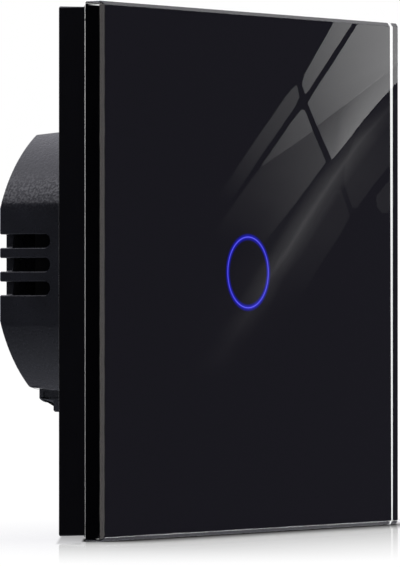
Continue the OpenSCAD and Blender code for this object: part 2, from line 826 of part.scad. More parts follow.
module relay_yoke() {
    color([0.65, 0.65, 0.65]) in_relay() {
        box([yoke_leg_x, coil_x + winding_r], [relay_base_t, foot_top], [-iron_half_w, iron_half_w]);
        box([yoke_leg_x, yoke_leg_x + iron_t], [relay_base_t, armature_base - relay_gap],
            [-iron_half_w, iron_half_w]);
    }
}

module relay_fixed_contact() {
    top = armature_top - contact_t - contact_throw;
    half_t = 0.4;
    color([0.75, 0.6, 0.3]) in_relay() {
        box([contact_x - half_t, contact_x + half_t], [relay_base_t, top - fixed_contact_t],
            [-2 * contact_r, 2 * contact_r]);
        rod(contact_x, 0, top - fixed_contact_t, top, contact_r);
    }
}

module relay_armature() {
    color([0.6, 0.6, 0.62]) in_relay()
        box([yoke_leg_x, armature_end_x], [armature_base, armature_top], [-iron_half_w, iron_half_w]);
}

module relay_moving_contact() {
    color([0.8, 0.6, 0.3]) in_relay() {
        box([pivot_x + iron_t, contact_x + contact_r], [armature_top, armature_top + leaf_t],
            [-1.5 * contact_r, 1.5 * contact_r]);
        rod(contact_x, 0, armature_top - contact_t, armature_top, contact_r);
    }
}

// Terminals

function terminal_x(i) = i * terminal_pitch;

// The slot that the tail of a terminal bar goes through
module bar_slot(i, y0, y1) {
    half = bar_w / 2 + run_gap;
    box([terminal_x(i) - half, terminal_x(i) + half], [y0, y1], [z_bar - bar_t - run_gap, z_bar + run_gap]);
}

module terminal_block() {
    z_low = -terminal_bottom - terminal_sill;
    y_sill = y_terminal_rear - sill_setback;
    section = rounded([[y_power_rear, -terminal_top], [y_terminal_rear, -terminal_top],
        [y_terminal_rear, -terminal_bottom + nose_rise], [y_sill, -terminal_bottom], [y_sill, z_low],
        [y_power_rear, z_low]], [0, 0, nose_r, 0, sill_r, 0]);
    half = terminal_w / 2;
    plan = rounded([[-half, y_power_rear], [half, y_power_rear], [half, y_terminal_rear],
        [-half, y_terminal_rear]], [0, 0, block_edge_r, block_edge_r]);
    z_groove = -terminal_top - groove_drop;
    color([0.06, 0.06, 0.065]) difference() {
        intersection() {
            along_x(-half, half) polygon(section);
            along_z(z_low - past, 0) polygon(plan);
        }
        for (x = [-half, half])
            box([x - groove_deep, x + groove_deep], [y_power_rear - past, y_terminal_rear - groove_end],
                [z_groove - groove_w / 2, z_groove + groove_w / 2]);
        for (i = terminal_places) {
            box([terminal_x(i) - cage_w / 2 - run_gap, terminal_x(i) + cage_w / 2 + run_gap],
                [y_chamber_front, y_chamber_rear], [z_chamber_bottom, z_chamber_top]);
            y_out = y_terminal_rear + past;
            rod(terminal_x(i), z_screw, y_chamber_rear - past, y_out, terminal_screw_r + run_gap);
            rod(terminal_x(i), z_screw, y_well, y_out, terminal_head_r + run_gap);
            translate([terminal_x(i), y_wire, z_low - past])
                cylinder(h = z_chamber_bottom - z_low + 2 * past, r = wire_r);
            bar_slot(i, y_power_rear - past, y_chamber_front + past);
        }
    }
}

// A bar lies along the chamber under the screw, then turns down through the floor into the board
module terminal_bars() {
    color([0.8, 0.65, 0.3]) for (i = terminal_places) {
        half = bar_w / 2;
        x = [terminal_x(i) - half, terminal_x(i) + half];
        box(x, [y_bar_front, y_bar_rear], [z_cage_bottom + run_gap, z_bar]);
        box(x, [y_power_front, y_bar_rear], [z_bar - bar_t, z_bar]);
    }
}

module terminal_cage(i) {
    half = cage_w / 2;
    x = terminal_x(i);
    color([0.72, 0.72, 0.7]) difference() {
        box([x - half, x + half], [y_cage_front, y_cage_rear], [z_cage_bottom, z_cage_top]);
        box([x - half + cage_wall, x + half - cage_wall],
            [y_cage_front + cage_wall, y_cage_rear - cage_thread_t],
            [z_cage_bottom - past, z_cage_top + past]);
        rod(x, z_screw, y_cage_front + cage_wall, y_cage_rear + past, terminal_screw_r + run_gap / 4);
    }
}

module terminal_screw(i) {
    y_top = y_head + terminal_head_t;
    edge = 0.3;
    color([0.78, 0.78, 0.76]) translate([terminal_x(i), 0, z_screw]) difference() {
        lathe([[0, y_screw_tip], [terminal_screw_r, y_screw_tip], [terminal_screw_r, y_head],
            [terminal_head_r, y_head], [terminal_head_r, y_top - edge],
            [terminal_head_r - edge, y_top], [0, y_top]]);
        cross_recess(terminal_head_r - 2 * edge, y_top - drive_deep, y_top + past);
    }
}

glass_panel();
back_print();
ring_window();
adhesive_pads();
panel_frame();
mounting_plate();
carrier();
rear_housing();
housing_screws();
front_spacers();
rear_spacers();
light_guide();
touch_spring();
touch_board();
touch_chip();
status_leds();
board_connector();
power_board();
power_chip();
rectifier();
film_capacitor();
electrolytic_capacitor();
varistor();
choke();
fuse();
relay_base();
relay_case();
relay_bobbin();
relay_winding();
relay_core();
relay_yoke();
relay_fixed_contact();
relay_armature();
relay_moving_contact();
terminal_block();
terminal_bars();
for (i = terminal_places) {
    name = terminal_names[i + 1];
    terminal_cage(i);
    terminal_screw(i);
}
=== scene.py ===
# %% [markdown]
# # A touch light switch, dressed in Blender
#
# The switch is a square black glass panel with a thin blue ring, a moulded frame behind it and a
# housing that goes into the wall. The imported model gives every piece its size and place. This lesson
# gives each piece its edges and its finish, and sets it up in a small white studio.

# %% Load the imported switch
import json
import math

import bmesh
import bpy
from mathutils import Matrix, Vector
from mathutils.bvhtree import BVHTree


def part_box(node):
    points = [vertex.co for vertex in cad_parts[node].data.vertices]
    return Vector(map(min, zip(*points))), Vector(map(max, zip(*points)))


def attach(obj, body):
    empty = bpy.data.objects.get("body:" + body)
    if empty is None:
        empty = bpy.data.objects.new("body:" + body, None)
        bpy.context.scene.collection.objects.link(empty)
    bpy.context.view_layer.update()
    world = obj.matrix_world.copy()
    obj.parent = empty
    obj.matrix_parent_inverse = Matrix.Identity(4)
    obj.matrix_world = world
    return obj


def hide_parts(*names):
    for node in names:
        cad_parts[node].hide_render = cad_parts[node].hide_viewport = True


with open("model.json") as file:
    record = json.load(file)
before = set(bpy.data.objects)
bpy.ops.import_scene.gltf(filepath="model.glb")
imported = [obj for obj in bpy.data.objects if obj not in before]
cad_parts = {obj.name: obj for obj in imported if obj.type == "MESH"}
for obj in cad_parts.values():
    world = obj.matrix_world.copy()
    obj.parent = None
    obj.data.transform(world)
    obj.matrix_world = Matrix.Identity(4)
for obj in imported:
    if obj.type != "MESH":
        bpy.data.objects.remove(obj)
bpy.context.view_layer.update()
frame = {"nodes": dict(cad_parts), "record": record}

MM = 0.001
record = frame["record"]
SLOT_OF = {part["node"]: part["material_slot"] for part in record["subparts"]}
BODY_OF = {node: body for body, nodes in record["behaviour"]["bodies"].items() for node in nodes}


def box_mm(node):
    """The low and the high corner of a node's box, in mm."""
    return [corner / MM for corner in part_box(node)]


# %% [markdown]
# ## The camera
#
# The picture was taken from the front left with a long lens, almost level with the panel's middle. A
# camera could be turned by eye. Here the lens and the place come from the panel's own edges: the
# focal length is in pixels, and the horizon lies a little below the middle, so the camera looks up by a
# hair. A shifted lens would do that too, but the other views keep the shift, so a tilt is better.

# %% Set the camera
PHOTO_W, PHOTO_H = 400, 567
FOCAL_PX = 5389
HORIZON_PX = 305
SENSOR_MM = 36
CAMERA_AT = Vector((-0.7318, -0.5177, -0.0054))
AHEAD = Vector((0.81513, 0.57928, 0))
RIGHT = Vector((0.57928, -0.81513, 0))
UP = Vector((0, 0, 1))

scene = bpy.context.scene
scene.view_settings.view_transform = "Standard"
camera = bpy.data.objects.new("camera", bpy.data.cameras.new("camera"))
scene.collection.objects.link(camera)
camera.data.sensor_width = SENSOR_MM
camera.data.lens = FOCAL_PX / PHOTO_H * SENSOR_MM
tilt = math.atan((HORIZON_PX - PHOTO_H / 2) / FOCAL_PX)
camera.location = CAMERA_AT
camera.rotation_euler = (AHEAD * math.cos(tilt) + UP * math.sin(tilt)).to_track_quat("-Z", "Y").to_euler()
scene.camera = camera
print("lens", round(camera.data.lens, 1), "mm, tilt", round(math.degrees(tilt), 3), "degrees")

# %% [markdown]
# ## Wires between nodes
#
# Materials and Geometry Nodes are trees of nodes. Placing each node and link by hand is long, so one
# small class wraps an output: sums and products of wires add Math nodes, and `node` adds any other node.

# %% The wire class


def named(sockets, name):
    """The socket with this identifier, or else with this name or number."""
    exact = [socket for socket in sockets if socket.identifier == name]
    return exact[0] if exact else sockets[name]


class Wire:
    """An output in a tree of nodes. Arithmetic on wires adds Math nodes to the tree."""

    def __init__(self, tree, socket=None):
        self.tree = tree
        self.socket = socket

    def node(self, kind, values=None, output=0, **settings):
        """Adds a node, sets it up, fills or links its inputs, and returns one of its outputs."""
        made = self.tree.nodes.new(kind)
        for name, value in settings.items():
            setattr(made, name, value)
        for name, value in (values or {}).items():
            socket = named(made.inputs, name)
            if isinstance(value, Wire):
                self.tree.links.new(value.socket, socket)
            else:
                socket.default_value = value
        return Wire(self.tree, named(made.outputs, output)) if made.outputs else None

    def math(self, operation, *others):
        """A Math node on this wire and perhaps on others."""
        return self.node("ShaderNodeMath", dict(enumerate((self, *others))), operation=operation)

    def __add__(self, other):
        return self.math("ADD", other)

    def __sub__(self, other):
        return self.math("SUBTRACT", other)

    def __rsub__(self, other):
        return self.node("ShaderNodeMath", {0: other, 1: self}, operation="SUBTRACT")

    def __mul__(self, other):
        return self.math("MULTIPLY", other)

    __radd__ = __add__
    __rmul__ = __mul__

    def axis(self, name):
        """One of X, Y and Z of a vector."""
        return self.node("ShaderNodeSeparateXYZ", {"Vector": self}, name)

    def along(self, way):
        """How far a vector goes along a fixed direction."""
        return self.node("ShaderNodeVectorMath", {0: self, 1: way}, "Value", operation="DOT_PRODUCT")

    def plus(self, other):
        """The sum of two colours or vectors."""
        return self.node("ShaderNodeVectorMath", {0: self, 1: other}, "Vector", operation="ADD")

    def step(self, low, high):
        """A smooth step: 0 up to low, 1 from high on."""
        return self.node("ShaderNodeMapRange", {"Value": self, "From Min": low, "From Max": high},
                         interpolation_type="SMOOTHSTEP")

    def blend(self, first, second):
        """A colour that goes from the first to the second as this wire goes from 0 to 1."""
        return self.node("ShaderNodeMix", {"Factor_Float": self, "A_Color": first, "B_Color": second},
                         "Result_Color", data_type="RGBA")


print("a wire takes + - * and any other node")

# %% [markdown]
# ## How a finish starts and ends
#
# Every finish is named after the record's slot that it belongs to. A number that is the same all over
# goes straight into the shader's socket. A pattern reads Object coordinates, which are real metres
# here, so a grain of 0.3 mm is written as 0.3 mm.

# %% Start and end of a finish
FINISHES = {}


def emptied(owner):
    """A wire into the emptied tree of a material or a world."""
    owner.use_nodes = True
    owner.node_tree.nodes.clear()
    return Wire(owner.node_tree)


def start(slot):
    FINISHES[slot] = bpy.data.materials.new(slot)
    return emptied(FINISHES[slot])


def spot(paint):
    """Where on the piece this point is, in metres."""
    return paint.node("ShaderNodeTexCoord", output="Object")


def mottle(paint, size_mm, detail=2.0, stretch=(1, 1, 1)):
    """Noise whose spots are about as wide as size_mm, drawn out along the axes with a small stretch."""
    at = paint.node("ShaderNodeMapping", {"Vector": spot(paint), "Scale": stretch})
    return paint.node("ShaderNodeTexNoise",
                      {"Vector": at, "Scale": 1 / (size_mm * MM), "Detail": detail}, "Fac")


def bumped(paint, height, depth_mm):
    return paint.node("ShaderNodeBump", {"Distance": depth_mm * MM, "Height": height})


def end(paint, shader):
    paint.node("ShaderNodeOutputMaterial", {"Surface": shader})


def finished(paint, **values):
    """Ends a finish in a Principled shader with these values."""
    named = {name.replace("_", " "): value for name, value in values.items()}
    end(paint, paint.node("ShaderNodeBsdfPrincipled", named))


def shade(level, tint=(1.0, 1.0, 1.0)):
    return (*(level * part for part in tint), 1.0)


print("a finish starts with an empty tree and ends in its output")

# %% [markdown]
# ## Glass
#
# The panel is 4 mm clear glass, so it is left clear: the black comes from the print on its back. Light
# then bends in it as in the real one, and the polished edges show the white room behind. A black
# glossy plastic would be quicker, but its edges would stay dull.

# %% Glass finish
GLASS_IOR = 1.52
GLASS_TINT = shade(0.985, (0.99, 1.0, 0.995))
WIPE_MM, WIPE_ROUGH = 9.0, 0.001
paint = start("panel_glass")
finished(paint, Base_Color=GLASS_TINT, Roughness=mottle(paint, WIPE_MM) * WIPE_ROUGH,
         IOR=GLASS_IOR, Transmission_Weight=1.0)
print("glass bends light by", GLASS_IOR)

# %% [markdown]
# ## Black print and lit ring
#
# The print is a film of ink under the glass with a ring left clear in it. The light guide behind the
# ring shines through, and a painted glow in the edge of the ink stands for the little that creeps in. Both
# finishes measure the distance from the middle of the ring and turn it into light, so no picture is needed:
# a thin pale core in bright blue, deep blue edges, and a painted halo in the ink that ends within about
# half a millimetre.

# %% Print and ring finishes
RING_OUT_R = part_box("ring_window")[1].x
RING_W = 0.5 * MM
RING_MID_R = RING_OUT_R - RING_W / 2
CORE_REACH, EDGE_FROM, EDGE_FULL = 0.22 * RING_W, 0.1 * RING_W, 0.4 * RING_W
HALO_REACH = 0.55 * MM
CORE_BLUE, BRIGHT_BLUE = (0.16, 0.15, 0.98, 1), (0.01, 0.01, 0.75, 1)
EDGE_BLUE, PAINTED_HALO_BLUE = (0, 0, 0.33, 1), (0, 0, 0.31, 1)
BLACK = (0, 0, 0, 1)
INK_DEEP, INK_PALE, DUST_MM = (0.0004, 0.0004, 0.0006, 1), (0.001, 0.001, 0.0014, 1), 0.4


def off_ring(paint):
    """Distance from the middle line of the ring, in metres."""
    at = spot(paint)
    x, z = at.axis("X"), at.axis("Z")
    return ((x * x + z * z).math("SQRT") - RING_MID_R).math("ABSOLUTE")


paint = start("ring_blue")
off = off_ring(paint)
bright = off.step(0, CORE_REACH).blend(CORE_BLUE, BRIGHT_BLUE)
light = off.step(EDGE_FROM, EDGE_FULL).blend(bright, EDGE_BLUE)
finished(paint, Base_Color=shade(0.02), Roughness=0.4, Specular_IOR_Level=0.0,
         Emission_Color=light, Emission_Strength=1.0)

paint = start("black_ink")
# painted halo: the ink next to the ring glows blue, less and less farther out
fade = 1 - off_ring(paint).step(RING_W / 2, RING_W / 2 + HALO_REACH)
tone = mottle(paint, DUST_MM).blend(INK_DEEP, INK_PALE)
finished(paint, Base_Color=tone, Roughness=0.32, Specular_IOR_Level=0.0,
         Emission_Color=(fade * fade).blend(BLACK, PAINTED_HALO_BLUE), Emission_Strength=1.0)
print("ring radius", round(RING_MID_R / MM, 2), "mm")

# %% [markdown]
# ## Moulded plastics
#
# The frame, the carrier, the housing and the terminal block are moulded in a tool with a fine spark
# grain. The grain is noise of about a third of a millimetre that bends the surface a little, and a slow
# cloud changes the black by a hair. One function makes them all, with the grain's size and depth. Where
# the light from above ends on the housing's curve, the tops of the grain glint. A deeper grain would look
# like leather, so a coat lies on the tops alone, in a band between two heights.

# %% Moulded finishes
CLOUD_MM, CLOUD_DEEP, CLOUD_PALE = 6.0, 0.7, 1.3
GRAIN_DULL = 0.2
GRAIN_TOPS = (0.5, 0.55)
GLINT_BAND = (9.5, 10.8, 13, 18)


def moulded(slot, level, grain_mm, depth_mm, rough, tint=(0.93, 0.95, 1.15), band=None):
    """A plastic of one level of grey. The band gives the heights in mm where glints begin and end."""
    paint = start(slot)
    grain = mottle(paint, grain_mm)
    glints = {}
    if band:
        height = spot(paint).axis("Z") * (1 / MM)
        where = height.step(*band[:2]) * (1 - height.step(*band[2:]))
        glints = {"Coat_Weight": grain.step(*GRAIN_TOPS) * where, "Coat_Roughness": rough}
    tone = mottle(paint, CLOUD_MM).blend(shade(level * CLOUD_DEEP, tint), shade(level * CLOUD_PALE, tint))
    finished(paint, Base_Color=tone, Roughness=rough - GRAIN_DULL / 2 + grain * GRAIN_DULL, IOR=1.5,
             Normal=bumped(paint, grain, depth_mm), **glints)


moulded("frame_plastic", 0.0014, 0.3, 0.02, 0.35, (0.8, 0.75, 1.9))
moulded("housing_plastic", 0.0115, 0.4, 0.06, 0.3, (0.88, 0.94, 1.35), GLINT_BAND)
moulded("carrier_plastic", 0.012, 0.35, 0.02, 0.5)
moulded("terminal_plastic", 0.026, 0.3, 0.02, 0.28, (0.9, 0.95, 1.2))
moulded("connector_black", 0.015, 0.2, 0.01, 0.4)
moulded("relay_black", 0.02, 0.3, 0.01, 0.5)
moulded("chip_black", 0.02, 0.15, 0.008, 0.55)
moulded("bobbin_white", 0.7, 0.5, 0.01, 0.5, (1.0, 0.98, 0.9))
moulded("spacer_nylon", 0.72, 0.5, 0.008, 0.45, (1.0, 0.99, 0.93))
moulded("relay_blue", 0.004, 0.8, 0.006, 0.4, (0.4, 0.5, 1.0))
print(len(FINISHES), "finishes so far")

# %% [markdown]
# ## Metals
#
# Rolled steel, plated screws, brass bars and soft iron are all metal with a different colour and a
# different way of being worked. Rolling leaves long streaks, so the noise is drawn out along one axis.
# A second noise leaves dull spots, as zinc does.

# %% Metal finishes
SPOT_MM, SPOT_DULL, SPOT_FROM, SPOT_FULL = 2.5, 0.72, 0.35, 0.7
UNEVEN, POLISH = 0.1, 0.08
ROLLED_X, DRAWN_Y = (0.06, 1, 1), (1, 0.06, 1)


def worked(slot, color, rough, streak_mm, stretch, depth_mm):
    paint = start(slot)
    streaks = mottle(paint, streak_mm, detail=3.0, stretch=stretch)
    spots = mottle(paint, SPOT_MM)
    tone = spots.step(SPOT_FROM, SPOT_FULL).blend(shade(1, color), shade(SPOT_DULL, color))
    finished(paint, Base_Color=tone, Roughness=rough - POLISH + streaks * UNEVEN + spots * UNEVEN,
             Metallic=1.0, Normal=bumped(paint, streaks, depth_mm))


worked("zinc_steel", (0.72, 0.74, 0.76), 0.34, 0.25, ROLLED_X, 0.004)
worked("screw_steel", (0.7, 0.71, 0.73), 0.28, 0.3, (1, 0.2, 1), 0.004)
worked("terminal_steel", (0.74, 0.73, 0.7), 0.3, 0.3, (1, 0.2, 1), 0.004)
worked("spring_wire", (0.75, 0.74, 0.7), 0.25, 0.15, (1, 0.3, 1), 0.003)
worked("soft_iron", (0.55, 0.55, 0.56), 0.4, 0.3, ROLLED_X, 0.005)
worked("contact_brass", (0.78, 0.57, 0.26), 0.3, 0.25, DRAWN_Y, 0.004)
worked("copper_wire", (0.72, 0.33, 0.15), 0.3, 0.2, (1, 0.3, 1), 0.003)
print(len(FINISHES), "finishes so far")

# %% [markdown]
# ## Coated parts
#
# Capacitors, the varistor, the choke and the fuse are dipped, sleeved or potted. They differ in colour
# and gloss, and a thin coat over the base gives the wet look of epoxy.

# %% Coated finishes
LUMP_DEEP = 0.75


def coated(slot, color, rough, lump_mm, depth_mm, coat):
    paint = start(slot)
    lumps = mottle(paint, lump_mm)
    finished(paint, Base_Color=lumps.blend(shade(LUMP_DEEP, color), shade(1, color)), Coat_Weight=coat,
             Roughness=rough - UNEVEN / 2 + lumps * UNEVEN, Normal=bumped(paint, lumps, depth_mm))


coated("film_box", (0.72, 0.5, 0.07), 0.35, 1.2, 0.01, 0.3)
coated("capacitor_sleeve", (0.015, 0.016, 0.03), 0.3, 1.5, 0.01, 0.3)
coated("varistor_coat", (0.03, 0.1, 0.42), 0.3, 2.0, 0.04, 0.6)
coated("ferrite", (0.03, 0.03, 0.033), 0.7, 0.3, 0.02, 0.0)
coated("fuse_body", (0.16, 0.07, 0.03), 0.4, 1.0, 0.01, 0.2)
coated("tape", (0.02, 0.02, 0.021), 0.8, 0.4, 0.03, 0.0)
coated("led_lens", (0.85, 0.8, 0.45), 0.2, 0.4, 0.004, 0.5)
print(len(FINISHES), "finishes so far")

# %% [markdown]
# ## Clear plastic and circuit board
#
# The light guide is cloudy clear plastic. The boards are glass fibre with a green lacquer, under which
# copper tracks show a lighter green. The tracks run in straight lanes: the place along X, cut into
# lanes, is compared with a coarse pattern of cells that says how far each lane goes.

# %% Guide and board finishes
HAZE_MM = 1.5
LANE_MM, CELL_MM, WEAVE_MM = 1.27, 6, 0.5
TRACK_FLAT, TRACK_EDGE, TRACK_RISE_MM = 0.16, 0.2, 0.03
CELL_OPEN = (0.45, 0.47)
LACQUER_DEEP, LACQUER_PALE = (0.008, 0.075, 0.03, 1), (0.012, 0.1, 0.04, 1)
LACQUER_COPPER = (0.03, 0.2, 0.07, 1)
paint = start("guide_plastic")
finished(paint, Base_Color=shade(0.95), Roughness=0.05 + mottle(paint, HAZE_MM) * 0.15, IOR=1.49,
         Transmission_Weight=0.9)

paint = start("board_green")
at = spot(paint)
lane = (at.axis("X") * (1 / (LANE_MM * MM))).math("FRACT")
track = 1 - (lane - 0.5).math("ABSOLUTE").step(TRACK_FLAT, TRACK_EDGE)
cells = paint.node("ShaderNodeTexVoronoi", {"Vector": at, "Scale": 1 / (CELL_MM * MM)}, "Color")
copper = track * cells.axis("X").step(*CELL_OPEN)
weave = mottle(paint, WEAVE_MM)
green = weave.blend(LACQUER_DEEP, LACQUER_PALE)
finished(paint, Base_Color=copper.blend(green, LACQUER_COPPER), Coat_Weight=0.3,
         Roughness=0.28 + weave * UNEVEN, Normal=bumped(paint, copper, TRACK_RISE_MM))
print(len(FINISHES), "finishes for", len(set(SLOT_OF.values())), "slots")

# %% [markdown]
# ## Making a mesh a piece
#
# Every piece gets its finish, rides on the body that its node belongs to, and stands for that node. The
# normals of a rounded edge would bend the light on the flat face next to it, so a Weighted Normal
# modifier turns them towards the larger face first.

# %% Bake and keep
SMOOTH_BELOW = math.radians(38)


def baked(shape):
    """The mesh of an object with its modifiers applied. The object goes."""
    graph = bpy.context.evaluated_depsgraph_get()
    mesh = bpy.data.meshes.new_from_object(shape.evaluated_get(graph), preserve_all_data_layers=True,
                                           depsgraph=graph)
    shape.modifiers.clear()
    bpy.data.objects.remove(shape)
    return mesh


def shape_of(mesh, name):
    shape = bpy.data.objects.new(name, mesh)
    scene.collection.objects.link(shape)
    return shape


def mesh_of(bm):
    mesh = bpy.data.meshes.new("mesh")
    bm.to_mesh(mesh)
    bm.free()
    return mesh


def keep(node, mesh, smooth=True):
    """Makes a mesh the piece that stands for a node."""
    if smooth:
        mesh.shade_smooth()
        mesh.set_sharp_from_angle(angle=SMOOTH_BELOW)
        shape = shape_of(mesh, node + "_plain")
        shape.modifiers.new("flat faces first", "WEIGHTED_NORMAL").keep_sharp = True
        mesh = baked(shape)
    mesh.name = "look_" + node
    mesh.materials.clear()
    mesh.materials.append(FINISHES[SLOT_OF[node]])
    piece = shape_of(mesh, "look_" + node)
    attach(piece, BODY_OF[node])
    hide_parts(node)
    print(piece.name, "has", len(mesh.polygons), "faces and rides on", BODY_OF[node])


print("faces that meet at less than", round(math.degrees(SMOOTH_BELOW)), "degrees are smooth")

# %% [markdown]
# ## Lofts of rounded squares
#
# The glass, the print and the frame are all squares with round corners that change size from front to
# back. A loop is given by half its width, its place along Y and how far out the middles of its corner
# arcs lie: with the middles at 0 it is a circle. A loft joins loop to loop, so one section drawn as a
# list makes the whole ring of the frame, with round edges where the list says so.

# %% Loops and lofts
CORNERS = ((1, 1), (-1, 1), (-1, -1), (1, -1))
CORNER_STEPS = 16
FILLET_STEPS = 3
SAME_POINT = 1e-7


def square_loop(half, y, centre):
    """Points round a square of mm with round corners."""
    points = []
    for corner, (side_x, side_z) in enumerate(CORNERS):
        for step in range(CORNER_STEPS + 1):
            turn = math.radians(90) * (corner + step / CORNER_STEPS)
            points.append(Vector((side_x * centre + (half - centre) * math.cos(turn), y,
                                  side_z * centre + (half - centre) * math.sin(turn))) * MM)
    return points


def filleted(section):
    """A closed section of (across, y, centre, radius) rows with an arc for each radius."""
    rounded = []
    for i, (across, y, centre, radius) in enumerate(section):
        here = Vector((across, y))
        if not radius:
            rounded.append((across, y, centre))
            continue
        before = (Vector(section[i - 1][:2]) - here).normalized()
        after = (Vector(section[(i + 1) % len(section)][:2]) - here).normalized()
        half_angle = before.angle(after) / 2
        reach = radius / math.tan(half_angle)
        first, last = here + before * reach, here + after * reach
        middle = here + (before + after).normalized() * radius / math.sin(half_angle)
        for step in range(FILLET_STEPS + 1):
            out = (first - middle).lerp(last - middle, step / FILLET_STEPS).normalized() * radius
            rounded.append((*(middle + out), centre))
    return rounded


def loft(loops, closed):
    """A mesh through loops of points: a ring where closed, and otherwise a solid with two ends."""
    bm = bmesh.new()
    rows = [[bm.verts.new(point) for point in loop] for loop in loops]
    pairs = list(zip(rows, rows[1:])) + ([(rows[-1], rows[0])] if closed else [])
    for near, far in pairs:
        for i in range(len(near)):
            j = (i + 1) % len(near)
            bm.faces.new((near[i], near[j], far[j], far[i]))
    if not closed:
        bm.faces.new(rows[0])
        bm.faces.new(rows[-1])
    bmesh.ops.remove_doubles(bm, verts=bm.verts, dist=SAME_POINT)
    bmesh.ops.recalc_face_normals(bm, faces=bm.faces)
    return mesh_of(bm)


print("a loop has", len(square_loop(1, 0, 0)), "points")

# %% [markdown]
# ## The glass panel
#
# The glass is a plate with a ground and polished bevel round its front and its back. A cube with a
# Bevel modifier would do, but a loft keeps the bevel and the corner in proportion. The faces stay flat,
# because a smooth normal would bend what the glass shows.

# %% Glass panel
glass_low, glass_high = box_mm("glass_panel")
GLASS_HALF = glass_high.x
GLASS_FRONT, GLASS_BACK = glass_low.y, glass_high.y
BEVEL, ARRIS = 0.6, 0.03
GLASS_CORNER, LEAST_CORNER = 0.4, 0.05
rim = [(BEVEL + ARRIS, 0), (BEVEL - ARRIS, ARRIS), (ARRIS, BEVEL - ARRIS), (0, BEVEL + ARRIS)]
glass_loops = [(GLASS_HALF - inward, GLASS_FRONT + deep) for inward, deep in rim]
glass_loops += [(GLASS_HALF - inward, GLASS_BACK - deep) for inward, deep in reversed(rim)]
glass = loft([square_loop(half, y, min(GLASS_HALF - GLASS_CORNER, half - LEAST_CORNER))
              for half, y in glass_loops], closed=False)
keep("glass_panel", glass, smooth=False)

# %% [markdown]
# ## The print and the ring
#
# Ink lies on the glass without any air between, so light in the glass ends there. Two faces in the same
# place would leave that to chance, so the ink's front reaches a hair into the glass. The print laps over
# the rear bevel a little, more towards the bottom, and what is left of the bevel shows white. It is one
# ring-shaped loft from a square to a circle, and a disc in the middle. The lit ring fills the gap.

# %% Print and ring
INTO_GLASS = 0.015
ink_high = box_mm("back_print")[1]
INK_HALF, INK_BACK = ink_high.x, ink_high.y
INK_FRONT = GLASS_BACK - INTO_GLASS
BEVEL_FOOT = GLASS_HALF - BEVEL
INK_CORNER = 0.1
INK_MID = BEVEL_FOOT - INK_CORNER
LAP, LAP_LEAN = 0.22, 0.13
FILM = 0.025
RING_IN, RING_OUT = (RING_OUT_R - RING_W) / MM, RING_OUT_R / MM


def joined(*meshes):
    """Several meshes as one."""
    bm = bmesh.new()
    for mesh in meshes:
        bm.from_mesh(mesh)
    return mesh_of(bm)


def lapped(out):
    """The edge of the print on the rear bevel, moved out of the glass by out."""
    foot = square_loop(BEVEL_FOOT + out, INK_FRONT + out, INK_MID)
    beyond = square_loop(BEVEL_FOOT + out + 1, INK_FRONT + out - 1, INK_MID)
    return [a.lerp(b, LAP - LAP_LEAN * a.z / (GLASS_HALF * MM)) for a, b in zip(foot, beyond)]


in_front, in_back = square_loop(RING_IN, INK_FRONT, 0), square_loop(RING_IN, INK_BACK, 0)
out_front, out_back = square_loop(RING_OUT, INK_FRONT, 0), square_loop(RING_OUT, INK_BACK, 0)
ink = loft([out_front, square_loop(BEVEL_FOOT, INK_FRONT, INK_MID), lapped(0), lapped(FILM),
            square_loop(BEVEL_FOOT, GLASS_BACK + FILM, INK_MID),
            square_loop(INK_HALF, INK_BACK, INK_MID - INK_CORNER), out_back], closed=True)
disc = loft([in_front, in_back], closed=False)
keep("back_print", joined(ink, disc), smooth=False)
keep("ring_window", loft([out_front, out_back, in_back, in_front], closed=True), smooth=False)

# %% [markdown]
# ## Geometry Nodes for what repeats
#
# Clips, lamps, screws, spacers and coils repeat. A loop could copy them point by point, but a tree of
# nodes can be opened and changed by its named inputs. Each ends in Realize Instances and Set Material,
# and is then made a plain mesh. One turns copies round the Y axis, one puts copies at given places, and
# one runs a round wire along a path.

# %% Trees that copy and follow


def new_tree(name, inputs):
    """An empty tree with named inputs, given as a wire for each of them."""
    tree = bpy.data.node_groups.new(name, "GeometryNodeTree")
    for label, kind in {"Geometry": "Geometry", **inputs, "Material": "Material"}.items():
        tree.interface.new_socket(label, in_out="INPUT", socket_type="NodeSocket" + kind)
    tree.interface.new_socket("Geometry", in_out="OUTPUT", socket_type="NodeSocketGeometry")
    entry = tree.nodes.new("NodeGroupInput")
    return {socket.name: Wire(tree, socket) for socket in entry.outputs if socket.name}


def close_tree(shape, given):
    real = shape.node("GeometryNodeRealizeInstances", {"Geometry": shape})
    done = real.node("GeometryNodeSetMaterial", {"Geometry": real, "Material": given["Material"]})
    done.node("NodeGroupOutput", {"Geometry": done})
    return shape.tree


def grown(tree, mesh, values):
    """The mesh that a tree makes of another mesh, with its inputs set by their identifiers."""
    shape = shape_of(mesh, tree.name + "_source")
    modifier = shape.modifiers.new(tree.name, "NODES")
    modifier.node_group = tree
    for item in tree.interface.items_tree:
        if item.in_out == "INPUT" and item.name in values:
            modifier[item.identifier] = values[item.name]
    return baked(shape)


given = new_tree("turned_copies", {"Count": "Int", "Start": "Float"})
points = given["Count"].node("GeometryNodePoints", {"Count": given["Count"]})
share = points.node("GeometryNodeInputIndex").math("DIVIDE", given["Count"])
spin = points.node("ShaderNodeCombineXYZ", {"Y": given["Start"] + share * math.tau})
copies = points.node("GeometryNodeInstanceOnPoints",
                     {"Points": points, "Instance": given["Geometry"], "Rotation": spin})
TURNED_COPIES = close_tree(copies, given)

given = new_tree("placed_copies", {"Places": "Object"})
places = given["Places"].node("GeometryNodeObjectInfo", {"Object": given["Places"]}, "Geometry")
copies = places.node("GeometryNodeInstanceOnPoints", {"Points": places, "Instance": given["Geometry"]})
PLACED_COPIES = close_tree(copies, given)

